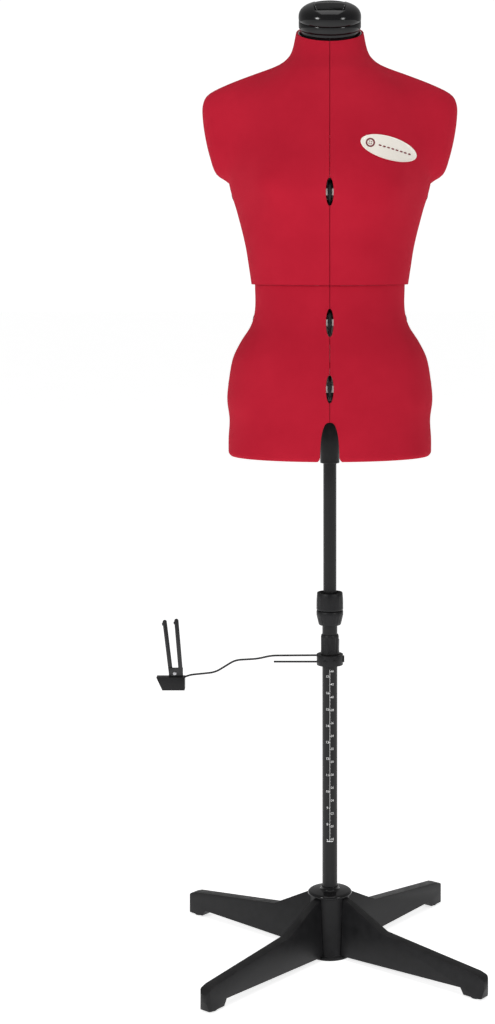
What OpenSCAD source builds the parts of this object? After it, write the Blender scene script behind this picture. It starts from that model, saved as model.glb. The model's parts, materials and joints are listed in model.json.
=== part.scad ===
// Adjustable dress form on a four-leg stand, with a swinging hem marker.
// The origin is on the floor under the pole, +Z is up, the chest faces -Y and the form's left side is +X.

/* [Stand] */
// Radius of the hub between the legs
hub_r = 30; // [28:1:34]
// Height of the hub
hub_h = 94; // [88:1:100]
// Reach of a leg from the pole's axis to its rounded toe
leg_reach = 292; // [270:2:300]
// Width of a leg at the floor
leg_w = 22; // [18:1:30]
// Width of a leg at the hub's top, to which its sides lean in
leg_top_w = 11; // [10:1:18]
// Height of the leg's top edge where it meets the hub
leg_root_z = 92; // [84:1:92]
// Radius of the lower tube
lower_tube_r = 11.7; // [11.5:0.1:12.5]
// Height of the lower tube's top end
lower_tube_top = 530; // [520:5:540]
// Radius of the upper tube
upper_tube_r = 10.2; // [9.8:0.1:10.3]

/* [Hem marker] */
// Height of the swinging collar's underside
collar_z = 449; // [300:1:452]
// Radius of the swinging collar
collar_r = 20.5; // [20:0.5:23]
// Thickness of the arm's spring wire
wire_d = 3; // [2.5:0.1:3.5]

/* [Torso] */
// Height of the hem
hem_z = 773; // [770:1:776]
// Top edge of the lower panels at the waist
lower_top_z = 1038; // [1037:0.5:1038.5]
// Bottom edge of the upper panels at the waist
upper_bottom_z = 1040; // [1039.5:0.5:1041]
// Height of the neck's rim at the sides
neck_z = 1430; // [1426:1:1434]
// Forward tilt of the neck's rim
neck_tilt = 20; // [16:1:22]
// Thickness of a panel: a moulded shell with foam-backed cloth bonded to it
wall = 5; // [4:0.5:6]
// Half of the gap at a seam
seam_gap = 0.4; // [0.3:0.1:0.6]

/* [Size dials] */
// Radius of a thumb wheel
wheel_r = 19; // [17:0.5:19]
// Thickness of a thumb wheel
wheel_w = 4.6; // [4:0.2:5]
// Depth of a wheel's axle under the torso's surface
wheel_inset = 18.5; // [18:0.5:20]
// Width of the eye-shaped opening around a wheel
eye_w = 13; // [12:0.5:14]
// Height of the eye-shaped opening around a wheel
eye_h = 42; // [40:1:44]
// Half length of a wheel's two-handed screw
screw_half = 27; // [26:0.5:28]

/* [Hidden] */
$fn = 48;

// Clearance of a running fit, and of parts that only pass each other
fit = 0.05;
loose = 0.4;

// Colours
cloth_red = [0.70, 0.16, 0.23];
plastic_black = [0.13, 0.13, 0.14];
metal_black = [0.16, 0.16, 0.17];
pale_nylon = [0.80, 0.74, 0.74];
steel = [0.55, 0.55, 0.57];
cream = [0.93, 0.90, 0.84];

// Halves of the torso: each curve is [height, value] from bottom to top
LOWER = 0;
UPPER = 1;
half_widths = [
    [[773, 157], [800, 157], [830, 155.5], [860, 159], [890, 156.5], [925, 150], [950, 138],
     [975, 122.5], [1000, 116], [1038, 116]],
    [[1040, 121.5], [1060, 124.5], [1100, 131], [1150, 143.5], [1190, 155], [1230, 160],
     [1270, 158], [1300, 150], [1330, 136], [1350, 117], [1370, 88], [1385, 69], [1400, 59],
     [1430, 52]]];
front_depths = [
    [[773, 100], [830, 104], [880, 105], [930, 101], [960, 95], [1000, 88], [1038, 87]],
    [[1040, 92], [1080, 98], [1120, 106], [1160, 115], [1190, 119], [1230, 115], [1280, 102],
     [1320, 90], [1350, 80], [1380, 65], [1400, 56], [1430, 49]]];
back_depths = [
    [[773, 106], [830, 116], [870, 119], [910, 113], [950, 96], [985, 84], [1038, 80]],
    [[1040, 84], [1080, 88], [1130, 96], [1190, 104], [1240, 109], [1290, 110], [1330, 103],
     [1360, 88], [1385, 69], [1405, 58], [1430, 51]]];
arm_widths = [[1196, 118], [1204, 153], [1212, 166], [1232, 176], [1263, 186.5], [1295, 193.5],
              [1317, 194.5], [1333, 186], [1348, 157], [1364, 115], [1380, 66], [1392, 40]];
arm_depths = [[1196, 8], [1204, 18], [1214, 30], [1240, 46], [1280, 55], [1310, 54], [1335, 44],
              [1350, 33], [1370, 20], [1392, 8]];
badge_x = 88.2;
badge_z = 1245;
badge_half = [43.8, 17.6];
badge_turn = -15.5;
badge_rings = 4;
badge_sides = 28;
arm_foot_z = 1196;
arm_top_z = 1392;
blend_power = 8;
arm_power = 3;

// Soft forms that stand proud of the ellipse:
// [height, angle from the centre seam, rise, spread in height, spread in angle]
bust_form = [1192, 36, 20, 48, 19];
seat_form = [868, 34, 7, 48, 22];
shoulder_tilt_z = 1370;
neck_half_depth = 51;
hem_round = 8;
arch_top_z = 834;
arch_half = 14.3;
arch_power = 2.6;
arch_flare = 0.7;
collar_top = 18.3;
cap_z = 18.6;
grip_half = 5;

// Heights of the dials and of the guides that carry the panels
bust_dial_z = 1179;
waist_dial_z = 983;
hip_dial_z = 884;
guide_zs = [935, 1240];
dial_zs = [[waist_dial_z, hip_dial_z], [bust_dial_z]];
column_rs = [17, 20];
FRONT = -90;
RIGHT = 0;
BACK = 90;
LEFT = 180;

// Guides inside the torso
rod_r = 4;
boss_r = 7;
rail_offset = 27;
rail_end = 104;
yoke_rod_step = 18;
yoke_rod_end = 70;
block_half = 33;
carrier_x = 70;
carrier_rod_end = 80;
panel_boss_start = 47;
screw_r = 3;
nut_start = 5.5;
nut_end = 17;
nut_half = 5;
cheek_y = 2.8;
cheek_t = 2.2;
fork_depth = 23;

// The stand's legs, tubes, collet and hub
stand_turn = 6.6;
function leg_angle(i) = 45 + 90 * i + stand_turn;
leg_screw_zs = [24, 70];
leg_screw_r = 2;
leg_screw_start = hub_r - 10;
leg_screw_length = 22;
pad_r = 8;
pad_h = 3;
tube_seat_z = 8;
bush_r = lower_tube_r - 0.8;
bush_length = 60;
collet_z = 511;
nut_z = 534;
nut_top_z = 561;
socket_z = 762;
socket_top_z = 836;
column_top_z = 1180;
pole_z = 208;
pole_top_z = 1172;
pole_plug_h = 8;
pole_cap_h = 3.7;
plug_depth = 12;
tube_wall = 1.5;

// Heights of the panel rows: close together at the eyes, the arch and the shoulders
eye_steps = [-1, -0.93, -0.78, -0.45, 0, 0.45, 0.78, 0.93, 1];
function eye_rows(z) = [for (s = eye_steps) z + s * eye_h / 2];
lower_rows = concat(
    [hem_z, hem_z + 3, hem_z + 8, 795, 810, 822, 830, 834, 848], eye_rows(hip_dial_z),
    [918, 932, 946, 956], eye_rows(waist_dial_z), [1018, lower_top_z]);
upper_rows = concat(
    [upper_bottom_z, 1080, 1120, 1145], eye_rows(bust_dial_z),
    [1204, 1210, 1220, 1240, 1265, 1290, 1310, 1325, 1337, 1348, 1358, 1368, 1378, 1388, 1400, 1415,
     neck_z]);
rows_of = [lower_rows, upper_rows];
panel_cols = 12;

// ---- Curves and surfaces ----

function segment_of(p, z, i = 0) = (i >= len(p) - 2 || z < p[i + 1][0]) ? i : segment_of(p, z, i + 1);
function slope_at(p, i) =
    let (a = max(i - 1, 0), b = min(i + 1, len(p) - 1)) (p[b][1] - p[a][1]) / (p[b][0] - p[a][0]);

// Height of a smooth curve through the points p at z
function curve(p, z) =
    let (i = segment_of(p, z), h = p[i + 1][0] - p[i][0], t = (z - p[i][0]) / h,
         t2 = t * t, t3 = t2 * t)
    (2 * t3 - 3 * t2 + 1) * p[i][1] + (t3 - 2 * t2 + t) * h * slope_at(p, i)
    + (3 * t2 - 2 * t3) * p[i + 1][1] + (t3 - t2) * h * slope_at(p, i + 1);

// Rise of a soft form at angle a, where the centre seam is at angle seam
function form_rise(f, seam, a, z) =
    f[2] * exp(-pow((z - f[0]) / f[3], 2)) * exp(-pow((abs(a - seam) - f[1]) / f[4], 2));

function arm_r(a, z) =
    z < arm_foot_z || z > arm_top_z ? 0
    : 1 / pow(pow(abs(cos(a)) / curve(arm_widths, z), arm_power)
              + pow(abs(sin(a)) / curve(arm_depths, z), arm_power), 1 / arm_power);

// Loss of radius where the hem is rounded
function hem_loss(z) =
    z > hem_z + hem_round ? 0 : hem_round - sqrt(max(0, pow(hem_round, 2) - pow(hem_z + hem_round - z, 2)));

// Radius of the torso's outer surface at angle a and height z
function section_r(h, a, z) =
    let (depth = curve(a < 0 ? front_depths[h] : back_depths[h], z),
         ellipse = 1 / norm([cos(a) / curve(half_widths[h], z), sin(a) / depth]),
         form = a < 0 ? (h == UPPER ? form_rise(bust_form, FRONT, a, z) : 0)
              : (h == LOWER ? form_rise(seat_form, BACK, a, z) : 0),
         body = ellipse + form - (h == LOWER ? hem_loss(z) : 0),
         arm = h == UPPER ? arm_r(a, z) : 0)
    pow(pow(body, blend_power) + pow(arm, blend_power), 1 / blend_power);

// The neck's rim leans forward: heights above the shoulder shift with the angle
function lean(h, a, z) =
    h == LOWER ? 0
    : tan(neck_tilt) * neck_half_depth * sin(a) * max(0, (z - shoulder_tilt_z) / (neck_z - shoulder_tilt_z));

function skin(h, a, z) = let (r = section_r(h, a, z)) [r * cos(a), r * sin(a), z + lean(h, a, z)];
function unit(v) = v / norm(v);
function skin_normal(h, a, z) =
    unit(cross(skin(h, a + 1, z) - skin(h, a - 1, z), skin(h, a, z + 1) - skin(h, a, z - 1)));
function under_skin(h, a, z, depth) = skin(h, a, z) - depth * skin_normal(h, a, z);

// Angle in the front half at which the surface is x from the middle, by halving
function angle_at(h, x, z, front, lo = 0, hi = 90, n = 24) =
    let (mid = (lo + hi) / 2, a = front ? -mid : mid)
    n == 0 ? a
    : section_r(h, a, z) * cos(a) > x ? angle_at(h, x, z, front, mid, hi, n - 1)
    : angle_at(h, x, z, front, lo, mid, n - 1);
function surface_y(h, x, z, front) = let (a = angle_at(h, x, z, front)) section_r(h, a, z) * sin(a);

// Half widths of the openings along the centre seams and the side seams
function eye_half(z, z0) =
    abs(z - z0) >= eye_h / 2 ? 0 : eye_w / 2 * sqrt(1 - pow((z - z0) / (eye_h / 2), 2));
function eyes_half(h, z) = max([for (z0 = dial_zs[h]) eye_half(z, z0)]);
function arch_opening(z) =
    z >= arch_top_z ? 0
    : arch_half * pow(1 - pow((z - hem_z) / (arch_top_z - hem_z), arch_power), 1 / arch_power)
      + arch_flare * hem_loss(z);
function centre_half(h, z) = max(eyes_half(h, z), h == LOWER ? arch_opening(z) : 0);
function edge_turn(h, a, z, half) = half <= 0 ? 0 : asin(half / section_r(h, a, z));

// ---- Torso panels ----

function panel_angle(h, front, z, u) =
    let (centre = front ? FRONT : BACK, sign = front ? 1 : -1,
         from_centre = edge_turn(h, centre, z, centre_half(h, z)),
         from_side = edge_turn(h, RIGHT, z, eyes_half(h, z)),
         inner = centre + sign * from_centre, outer = -sign * from_side)
    front ? inner + (outer - inner) * u : outer + (inner - outer) * u;

function quad(a, b, c, d) = [[a, b, c], [a, c, d]];
function flat(l) = [for (a = l) for (b = a) b];

// A right-hand panel as one closed shell
module panel_shell(h, front) {
    rows = rows_of[h];
    n = len(rows);
    w = panel_cols + 1;
    outer = [for (z = rows) for (j = [0 : panel_cols]) skin(h, panel_angle(h, front, z, j / panel_cols), z)];
    inner = [for (z = rows) for (j = [0 : panel_cols])
        under_skin(h, panel_angle(h, front, z, j / panel_cols), z, wall)];
    m = n * w;
    faces = concat(
        flat([for (i = [0 : n - 2]) for (j = [0 : panel_cols - 1])
            let (b = i * w + j) concat(quad(b, b + w, b + w + 1, b + 1),
                                       quad(m + b, m + b + 1, m + b + w + 1, m + b + w))]),
        flat([for (j = [0 : panel_cols - 1])
            let (t = (n - 1) * w + j) concat(quad(j, j + 1, m + j + 1, m + j),
                                             quad(t + 1, t, m + t, m + t + 1))]),
        flat([for (i = [0 : n - 2])
            let (l = i * w, r = l + panel_cols) concat(quad(l + w, l, m + l, m + l + w),
                                                       quad(r, r + w, m + r + w, m + r))]));
    translate([seam_gap, front ? -seam_gap : seam_gap, 0])
        polyhedron(points = concat(outer, inner), faces = faces);
}

// Nut block of a wheel's screw, in the wheel's frame: outwards is +X and the screw runs along Y
module nut_block(side) {
    difference() {
        translate([-nut_half, side > 0 ? nut_start : -nut_end, -nut_half])
            cube([nut_half + wheel_inset - wall / 2 - 0.5, nut_end - nut_start, 2 * nut_half]);
        rotate([90, 0, 0]) cylinder(r = screw_r + 2 * loose, h = 3 * nut_end, center = true);
    }
}

// Sleeve inside a panel that slides on the carrier's rod
module panel_guide(h, front) {
    z = guide_zs[h];
    sign = front ? -1 : 1;
    reach = abs(surface_y(h, carrier_x, z, front)) - wall + 0.5;
    translate([carrier_x, sign * panel_boss_start, z]) rotate([-sign * 90, 0, 0]) difference() {
        cylinder(r = boss_r, h = reach - panel_boss_start);
        translate([0, 0, -1]) cylinder(r = rod_r + loose, h = reach - panel_boss_start - 1);
    }
}

// A whole panel on the right-hand side; the left-hand ones are its mirror image
module right_panel(h, front) {
    side = front ? 1 : -1;
    color(cloth_red) union() {
        panel_shell(h, front);
        for (z = dial_zs[h]) {
            at_dial(h, front ? FRONT : BACK, z) nut_block(side);
            at_dial(h, RIGHT, z) nut_block(-side);
        }
        panel_guide(h, front);
    }
}
module left_panel(h, front) { mirror([1, 0, 0]) right_panel(h, front); }

// ---- Size dials and the guides that carry them ----

function dial_radius(h, a, z) = section_r(h, a == LEFT ? RIGHT : a, z) - wheel_inset;
module at_dial(h, a, z) { rotate([0, 0, a]) translate([dial_radius(h, a, z), 0, z]) children(); }

// Thumb wheel with its two-handed screw
module dial(h, a, z) {
    grips = 20;
    color(plastic_black) at_dial(h, a, z) rotate([90, 0, 0]) union() {
        difference() {
            cylinder(r = wheel_r, h = wheel_w, center = true);
            for (i = [0 : grips - 1]) rotate([0, 0, i * 360 / grips])
                translate([wheel_r + 0.7, 0, 0]) cylinder(r = 1.8, h = wheel_w + 1, center = true);
        }
        cylinder(r = screw_r, h = 2 * screw_half, center = true);
    }
}

// Fork that holds a wheel, on an arm from the guide at arm_start
module dial_fork(h, a, z, arm_start) {
    reach = dial_radius(h, a, z) - arm_start;
    at_dial(h, a, z) difference() {
        union() {
            translate([-reach, -6, -6]) cube([reach - fork_depth + 0.5, 12, 12]);
            translate([-fork_depth - 4, -6, -8]) cube([4, 12, 16]);
            for (s = [-1, 1]) translate([0, s * (cheek_y + cheek_t / 2), 0]) {
                translate([-fork_depth - 1, -cheek_t / 2, -nut_half])
                    cube([fork_depth + 1, cheek_t, 2 * nut_half]);
                rotate([90, 0, 0]) cylinder(r = nut_half, h = cheek_t, center = true);
            }
        }
        rotate([90, 0, 0]) cylinder(r = screw_r + fit, h = 20, center = true);
    }
}

// Left or right carrier: slides along X on two rods, holds the side dials and both panels' rods
module side_carrier(h, a) {
    z = guide_zs[h];
    low = min(concat([z], dial_zs[h])) - 12;
    high = max(concat([z], dial_zs[h])) + 12;
    color(pale_nylon) union() {
        rotate([0, 0, a]) difference() {
            union() {
                translate([carrier_x - 4, -15, low]) cube([8, 30, high - low]);
                translate([carrier_x - 4, -rail_offset - 6, z - 8])
                    cube([8, 2 * rail_offset + 12, 16]);
                for (s = [-1, 1]) translate([carrier_x - 10, s * rail_offset, z])
                    rotate([0, 90, 0]) cylinder(r = boss_r, h = 24);
                for (s = [-1, 1]) translate([carrier_x, s * (rail_offset + rod_r + 1), z])
                    rotate([-s * 90, 0, 0])
                        cylinder(r = rod_r, h = carrier_rod_end - rail_offset - rod_r - 1);
            }
            for (s = [-1, 1]) translate([0, s * rail_offset, z])
                rotate([0, 90, 0]) cylinder(r = rod_r + fit, h = 200);
        }
        for (zd = dial_zs[h]) dial_fork(h, a, zd, carrier_x);
    }
}

// Front or back yoke: slides along Y on two rods and holds the centre dials
module centre_yoke(h, a) {
    z = guide_zs[h];
    low = min(concat([z - yoke_rod_step], dial_zs[h])) - 10;
    high = max(concat([z + yoke_rod_step], dial_zs[h])) + 10;
    color(pale_nylon) union() {
        rotate([0, 0, a]) difference() {
            union() {
                translate([38, -9, low]) cube([5.5, 18, high - low]);
                for (s = [-1, 1]) translate([36, 0, z + s * yoke_rod_step])
                    rotate([0, 90, 0]) cylinder(r = boss_r, h = 20);
            }
            for (s = [-1, 1]) translate([0, 0, z + s * yoke_rod_step])
                rotate([0, 90, 0]) cylinder(r = rod_r + fit, h = 200);
        }
        for (zd = dial_zs[h]) dial_fork(h, a, zd, 40);
    }
}

// Block on the column with the rods that the carriers and yokes slide on
module crosshead(h) {
    z = guide_zs[h];
    half_h = yoke_rod_step + 8;
    color(plastic_black) difference() {
        union() {
            translate([-block_half, -block_half, z - half_h])
                cube([2 * block_half, 2 * block_half, 2 * half_h]);
            for (s = [-1, 1]) {
                translate([0, s * rail_offset, z]) rotate([0, 90, 0])
                    cylinder(r = rod_r, h = 2 * rail_end, center = true);
                for (a = [FRONT, BACK]) translate([0, 0, z + s * yoke_rod_step]) rotate([0, 0, a])
                    rotate([0, 90, 0]) cylinder(r = rod_r, h = yoke_rod_end);
            }
        }
        translate([0, 0, z - half_h - 1]) cylinder(r = column_rs[h], h = 2 * half_h + 2);
    }
}

// ---- Stand ----

module tube(r, inner, z0, z1) {
    translate([0, 0, z0]) difference() {
        cylinder(r = r, h = z1 - z0);
        translate([0, 0, -1]) cylinder(r = inner, h = z1 - z0 + 2);
    }
}

module hub() {
    color(plastic_black) difference() {
        rotate_extrude() polygon([[0, 0], [34, 0], [34.5, 0.8], [34.5, 3.2], [33, 5], [hub_r, 5.6],
            [hub_r, hub_h], [0, hub_h]]);
        translate([0, 0, tube_seat_z]) cylinder(r = lower_tube_r, h = hub_h);
        for (i = [0 : 3]) rotate([0, 0, leg_angle(i)]) for (z = leg_screw_zs)
            translate([leg_screw_start, 0, z]) rotate([0, 90, 0]) cylinder(r = leg_screw_r, h = hub_r);
    }
}

// Stepped cover disc on top of the hub and the leg roots
module hub_disc() {
    color(plastic_black) translate([0, 0, hub_h]) difference() {
        rotate_extrude() polygon([[0, 0], [34, 0], [34, 3], [31, 5], [16, 6], [13.6, 8], [13.6, 11],
            [12.6, 12], [0, 12]]);
        translate([0, 0, -1]) cylinder(r = lower_tube_r, h = 20);
    }
}

// Side outline of a leg: root, sloping shoulder, long flat top, rounded toe and a foot
function leg_outline() = concat(
    [[hub_r, 6], [hub_r, leg_root_z], [38, leg_root_z - 2], [107, 56], [leg_reach - 16, 37]],
    [for (a = [60 : -20 : -20]) [leg_reach - 14 + 14 * cos(a), 22 + 14 * sin(a)]],
    [[leg_reach - 4, 3], [leg_reach - 34, 3], [leg_reach - 40, 12], [hub_r + 16, 6]]);

module leg(a) {
    color(plastic_black) rotate([0, 0, a]) difference() {
        intersection() {
            translate([0, leg_w / 2, 0]) rotate([90, 0, 0]) linear_extrude(leg_w) polygon(leg_outline());
            rotate([90, 0, 90]) linear_extrude(leg_reach + 1) polygon([[-leg_w / 2, 0], [leg_w / 2, 0],
                [leg_top_w / 2, hub_h], [-leg_top_w / 2, hub_h]]);
            linear_extrude(leg_root_z + 1) union() {
                translate([hub_r - 1, -leg_w / 2]) square([leg_reach - leg_w / 2 - hub_r + 1, leg_w]);
                translate([leg_reach - leg_w / 2, 0]) circle(r = leg_w / 2);
            }
        }
        cylinder(r = hub_r, h = 200);
        for (z = leg_screw_zs) translate([leg_screw_start, 0, z]) rotate([0, 90, 0])
            cylinder(r = leg_screw_r, h = leg_screw_length + 2);
    }
}

module leg_back_right() { leg(leg_angle(0)); }
module leg_back_left() { leg(leg_angle(1)); }
module leg_front_left() { leg(leg_angle(2)); }
module leg_front_right() { leg(leg_angle(3)); }

// Rubber pads under the toes
module foot_pads() {
    color(metal_black) for (i = [0 : 3]) rotate([0, 0, leg_angle(i)])
        translate([leg_reach - 19, 0, 0]) cylinder(r = pad_r, h = pad_h);
}

// Two screws through the hub into each leg
module leg_screws() {
    color(steel) for (i = [0 : 3]) rotate([0, 0, leg_angle(i)]) for (z = leg_screw_zs)
        translate([leg_screw_start, 0, z]) rotate([0, 90, 0])
            cylinder(r = leg_screw_r, h = leg_screw_length);
}

module lower_tube() { color(metal_black) tube(lower_tube_r, bush_r, tube_seat_z, lower_tube_top); }

// Nylon bush that guides the upper tube in the lower one
module tube_bush() {
    color(pale_nylon) tube(bush_r, upper_tube_r + fit, lower_tube_top - bush_length, lower_tube_top);
}

// Collet: a skirt on the lower tube and split fingers round the upper one
module collet_body() {
    fingers = 4;
    color(plastic_black) difference() {
        rotate_extrude() polygon([[0, collet_z], [17.3, collet_z], [20.8, nut_z - 8], [20.8, nut_z - 1],
            [15, nut_z - 1], [15, 545], [13.5, 550], [0, 550]]);
        translate([0, 0, collet_z - 1]) cylinder(r = lower_tube_r, h = lower_tube_top - collet_z + 1);
        cylinder(r = upper_tube_r + fit, h = 600);
        for (i = [0 : fingers - 1]) rotate([0, 0, i * 360 / fingers])
            translate([5, -0.75, nut_z + 2]) cube([20, 1.5, 30]);
    }
}

// Grip nut with a funnel mouth
module collet_nut() {
    grips = 10;
    color(plastic_black) difference() {
        rotate_extrude() polygon([[15.3, nut_z], [20.5, nut_z], [21, nut_z + 3], [21, 552],
            [19.8, nut_top_z], [18.6, nut_top_z], [11.2, 553], [11.2, 551], [13.8, 550.5], [15.3, 545.5]]);
        for (i = [0 : grips - 1]) rotate([0, 0, i * 360 / grips])
            translate([22.6, 0, nut_z + 4]) cylinder(r = 2.4, h = 17);
    }
}

module upper_tube() { color(metal_black) tube(upper_tube_r, upper_tube_r - tube_wall, pole_z, pole_top_z); }
// Plug that closes the pole's lower end
module tube_plug() {
    color(plastic_black) union() {
        translate([0, 0, pole_z - pole_plug_h]) cylinder(r = upper_tube_r, h = pole_plug_h);
        translate([0, 0, pole_z]) cylinder(r = upper_tube_r - tube_wall, h = plug_depth);
    }
}
// Thrust cap on the pole's top end, which the column turns on
module pole_cap() {
    color(pale_nylon) union() {
        translate([0, 0, pole_top_z - plug_depth]) cylinder(r = upper_tube_r - tube_wall, h = plug_depth);
        translate([0, 0, pole_top_z]) cylinder(r = upper_tube_r, h = pole_cap_h);
    }
}

// ---- Torso frame ----

// Tapered socket that shows in the arch at the hem
module pole_socket() {
    color(plastic_black) difference() {
        rotate_extrude() polygon([[0, socket_z], [15, socket_z], [15, socket_z + 13], [17, socket_z + 30],
            [17, socket_z + 48], [15.6, socket_z + 62], [12.2, socket_top_z], [0, socket_top_z]]);
        cylinder(r = upper_tube_r + fit, h = 900);
    }
}

module lower_column() {
    color(metal_black) difference() {
        translate([0, 0, socket_top_z]) cylinder(r = column_rs[LOWER], h = column_top_z - socket_top_z);
        cylinder(r = upper_tube_r + 1.2, h = column_top_z - 4);
    }
}
module lower_crosshead() { crosshead(LOWER); }
module upper_crosshead() { crosshead(UPPER); }
module lower_left_carrier() { side_carrier(LOWER, LEFT); }
module lower_right_carrier() { side_carrier(LOWER, RIGHT); }
module upper_left_carrier() { side_carrier(UPPER, LEFT); }
module upper_right_carrier() { side_carrier(UPPER, RIGHT); }
module lower_front_yoke() { centre_yoke(LOWER, FRONT); }
module lower_back_yoke() { centre_yoke(LOWER, BACK); }
module upper_front_yoke() { centre_yoke(UPPER, FRONT); }
module upper_back_yoke() { centre_yoke(UPPER, BACK); }

module hip_front_left() { left_panel(LOWER, true); }
module hip_front_right() { right_panel(LOWER, true); }
module hip_back_left() { left_panel(LOWER, false); }
module hip_back_right() { right_panel(LOWER, false); }
module bust_front_left() { left_panel(UPPER, true); }
module bust_front_right() { right_panel(UPPER, true); }
module bust_back_left() { left_panel(UPPER, false); }
module bust_back_right() { right_panel(UPPER, false); }

module waist_dial_front() { dial(LOWER, FRONT, waist_dial_z); }
module waist_dial_back() { dial(LOWER, BACK, waist_dial_z); }
module waist_dial_left() { dial(LOWER, LEFT, waist_dial_z); }
module waist_dial_right() { dial(LOWER, RIGHT, waist_dial_z); }
module hip_dial_front() { dial(LOWER, FRONT, hip_dial_z); }
module hip_dial_back() { dial(LOWER, BACK, hip_dial_z); }
module hip_dial_left() { dial(LOWER, LEFT, hip_dial_z); }
module hip_dial_right() { dial(LOWER, RIGHT, hip_dial_z); }
module bust_dial_front() { dial(UPPER, FRONT, bust_dial_z); }
module bust_dial_back() { dial(UPPER, BACK, bust_dial_z); }
module bust_dial_left() { dial(UPPER, LEFT, bust_dial_z); }
module bust_dial_right() { dial(UPPER, RIGHT, bust_dial_z); }

// Telescoping column of the upper half, with a threaded boss for the length knob
knob_z = 1075;
column_end_z = neck_z - 18;
module upper_column() {
    color(metal_black) difference() {
        union() {
            translate([0, 0, 1046]) cylinder(r = column_rs[UPPER], h = column_end_z - 1046);
            translate([0, 0, knob_z]) rotate([-90, 0, 0]) cylinder(r = 8, h = 24);
        }
        translate([0, 0, 1045]) cylinder(r = column_rs[LOWER] + fit, h = 335);
        translate([0, 0, knob_z]) rotate([-90, 0, 0]) cylinder(r = screw_r + fit, h = 40);
    }
}

// Hand knob that clamps the telescoping column
module length_knob() {
    lobes = 6;
    color(plastic_black) translate([0, 0, knob_z]) rotate([-90, 0, 0]) union() {
        difference() {
            translate([0, 0, 25]) cylinder(r = 14, h = 14);
            for (i = [0 : lobes - 1]) rotate([0, 0, i * 360 / lobes])
                translate([16.5, 0, 24]) cylinder(r = 4.5, h = 16);
        }
        translate([0, 0, 18]) cylinder(r = screw_r, h = 8);
    }
}

// Oval badge that lies on the right-hand chest, without any mark
module badge() {
    spots = concat([[0, 0]], [for (k = [1 : badge_rings]) for (i = [0 : badge_sides - 1])
        let (t = i * 360 / badge_sides, q = k / badge_rings,
             x = badge_half[0] * q * cos(t), y = badge_half[1] * q * sin(t))
        [x * cos(badge_turn) - y * sin(badge_turn), x * sin(badge_turn) + y * cos(badge_turn)]]);
    angles = [for (p = spots) angle_at(UPPER, badge_x + p[0], badge_z + p[1], true)];
    m = len(spots);
    top = [for (i = [0 : m - 1]) under_skin(UPPER, angles[i], badge_z + spots[i][1], -1.3)];
    under = [for (i = [0 : m - 1]) under_skin(UPPER, angles[i], badge_z + spots[i][1], 0.8)];
    function ring(k, i) = 1 + (k - 1) * badge_sides + i % badge_sides;
    faces = concat(
        [for (i = [0 : badge_sides - 1]) [0, ring(1, i + 1), ring(1, i)]],
        [for (i = [0 : badge_sides - 1]) [m, m + ring(1, i), m + ring(1, i + 1)]],
        flat([for (k = [1 : badge_rings - 1]) for (i = [0 : badge_sides - 1]) concat(
            quad(ring(k, i), ring(k, i + 1), ring(k + 1, i + 1), ring(k + 1, i)),
            quad(m + ring(k, i), m + ring(k + 1, i), m + ring(k + 1, i + 1), m + ring(k, i + 1)))]),
        flat([for (i = [0 : badge_sides - 1])
            let (a = ring(badge_rings, i), b = ring(badge_rings, i + 1)) quad(a, b, m + b, m + a)]));
    color(cream) translate([seam_gap, -seam_gap, 0]) polyhedron(points = concat(top, under), faces = faces);
}

// ---- Neck ----

module on_neck() { translate([0, 0, neck_z]) rotate([neck_tilt, 0, 0]) children(); }

// Collar that closes the neck under the cap, on a stem that stands on the column
module neck_collar() {
    color(plastic_black) on_neck() difference() {
        rotate_extrude() polygon([[0, -26], [30, -26], [42.5, -20], [44.5, -8], [44.5, 1.4], [46, 1.4],
            [46.6, 2], [46.6, 5], [48.3, 8], [48.3, 17.4], [47.4, collar_top], [0, collar_top]]);
        translate([0, 0, -12]) cylinder(r = 4, h = 40);
    }
}

// Space of one finger scoop: its sides lean in and its floor falls towards the grip bar
module finger_scoop() {
    intersection() {
        translate([0, 60, 0]) rotate([90, 0, 0]) linear_extrude(60)
            polygon([[-18, 30], [18, 30], [27.5, 51], [-27.5, 51]]);
        translate([-30, 0, 0]) rotate([90, 0, 90]) linear_extrude(60)
            polygon([[grip_half, 33], [40, 44], [52, 48], [52, 51], [grip_half, 51]]);
    }
}

// Domed cap with two finger scoops and a grip bar between them, on a spindle
module neck_cap() {
    color(plastic_black) on_neck() union() {
        difference() {
            rotate_extrude() polygon([[0, cap_z], [47.4, cap_z], [48.3, 19.5], [48.5, 23], [47.8, 28],
                [46.2, 32], [43, 36.5], [39, 40], [33, 43.5], [27, 45.8], [20, 47], [0, 47.4]]);
            finger_scoop();
            mirror([0, 1, 0]) finger_scoop();
        }
        translate([0, 0, -8]) cylinder(r = 4 - fit, h = cap_z + 10);
    }
}

// ---- Hem marker ----

arm_route = [[-20, 463], [-91, 462.5], [-112, 457.5], [-147, 455.5], [-178, 436.5], [-217, 432.5],
             [-229, 428]];
lever_route = [[-18, 453], [-87, 453]];

// Sleeve that slides on the lower tube and stays where it is put
module marker_sleeve() {
    color(plastic_black) difference() {
        rotate_extrude() polygon([[0, collar_z - 2], [13.9, collar_z - 2], [13.9, collar_z + 17],
            [14.8, collar_z + 17.3], [14.2, collar_z + 22], [14.2, collar_z + 43], [12.8, collar_z + 47],
            [0, collar_z + 47]]);
        cylinder(r = lower_tube_r + fit, h = 900);
    }
}

// Collar that swings on the sleeve, with a flat tab and two rivet heads
module marker_collar() {
    color(plastic_black) difference() {
        union() {
            translate([0, 0, collar_z]) cylinder(r = collar_r, h = 16);
            translate([10, -4, collar_z + 4]) cube([collar_r - 8, 8, 9]);
            for (x = [-8, 8]) translate([x, -18.3, collar_z + 8])
                rotate([90, 0, 0]) cylinder(r = 2.2, h = 2.8);
        }
        translate([0, 0, collar_z - 1]) cylinder(r = 13.9 + fit, h = 20);
        translate([-collar_r - 1, -1.8, collar_z + 1.5]) cube([7, 3.6, 5.4]);
    }
}

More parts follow.
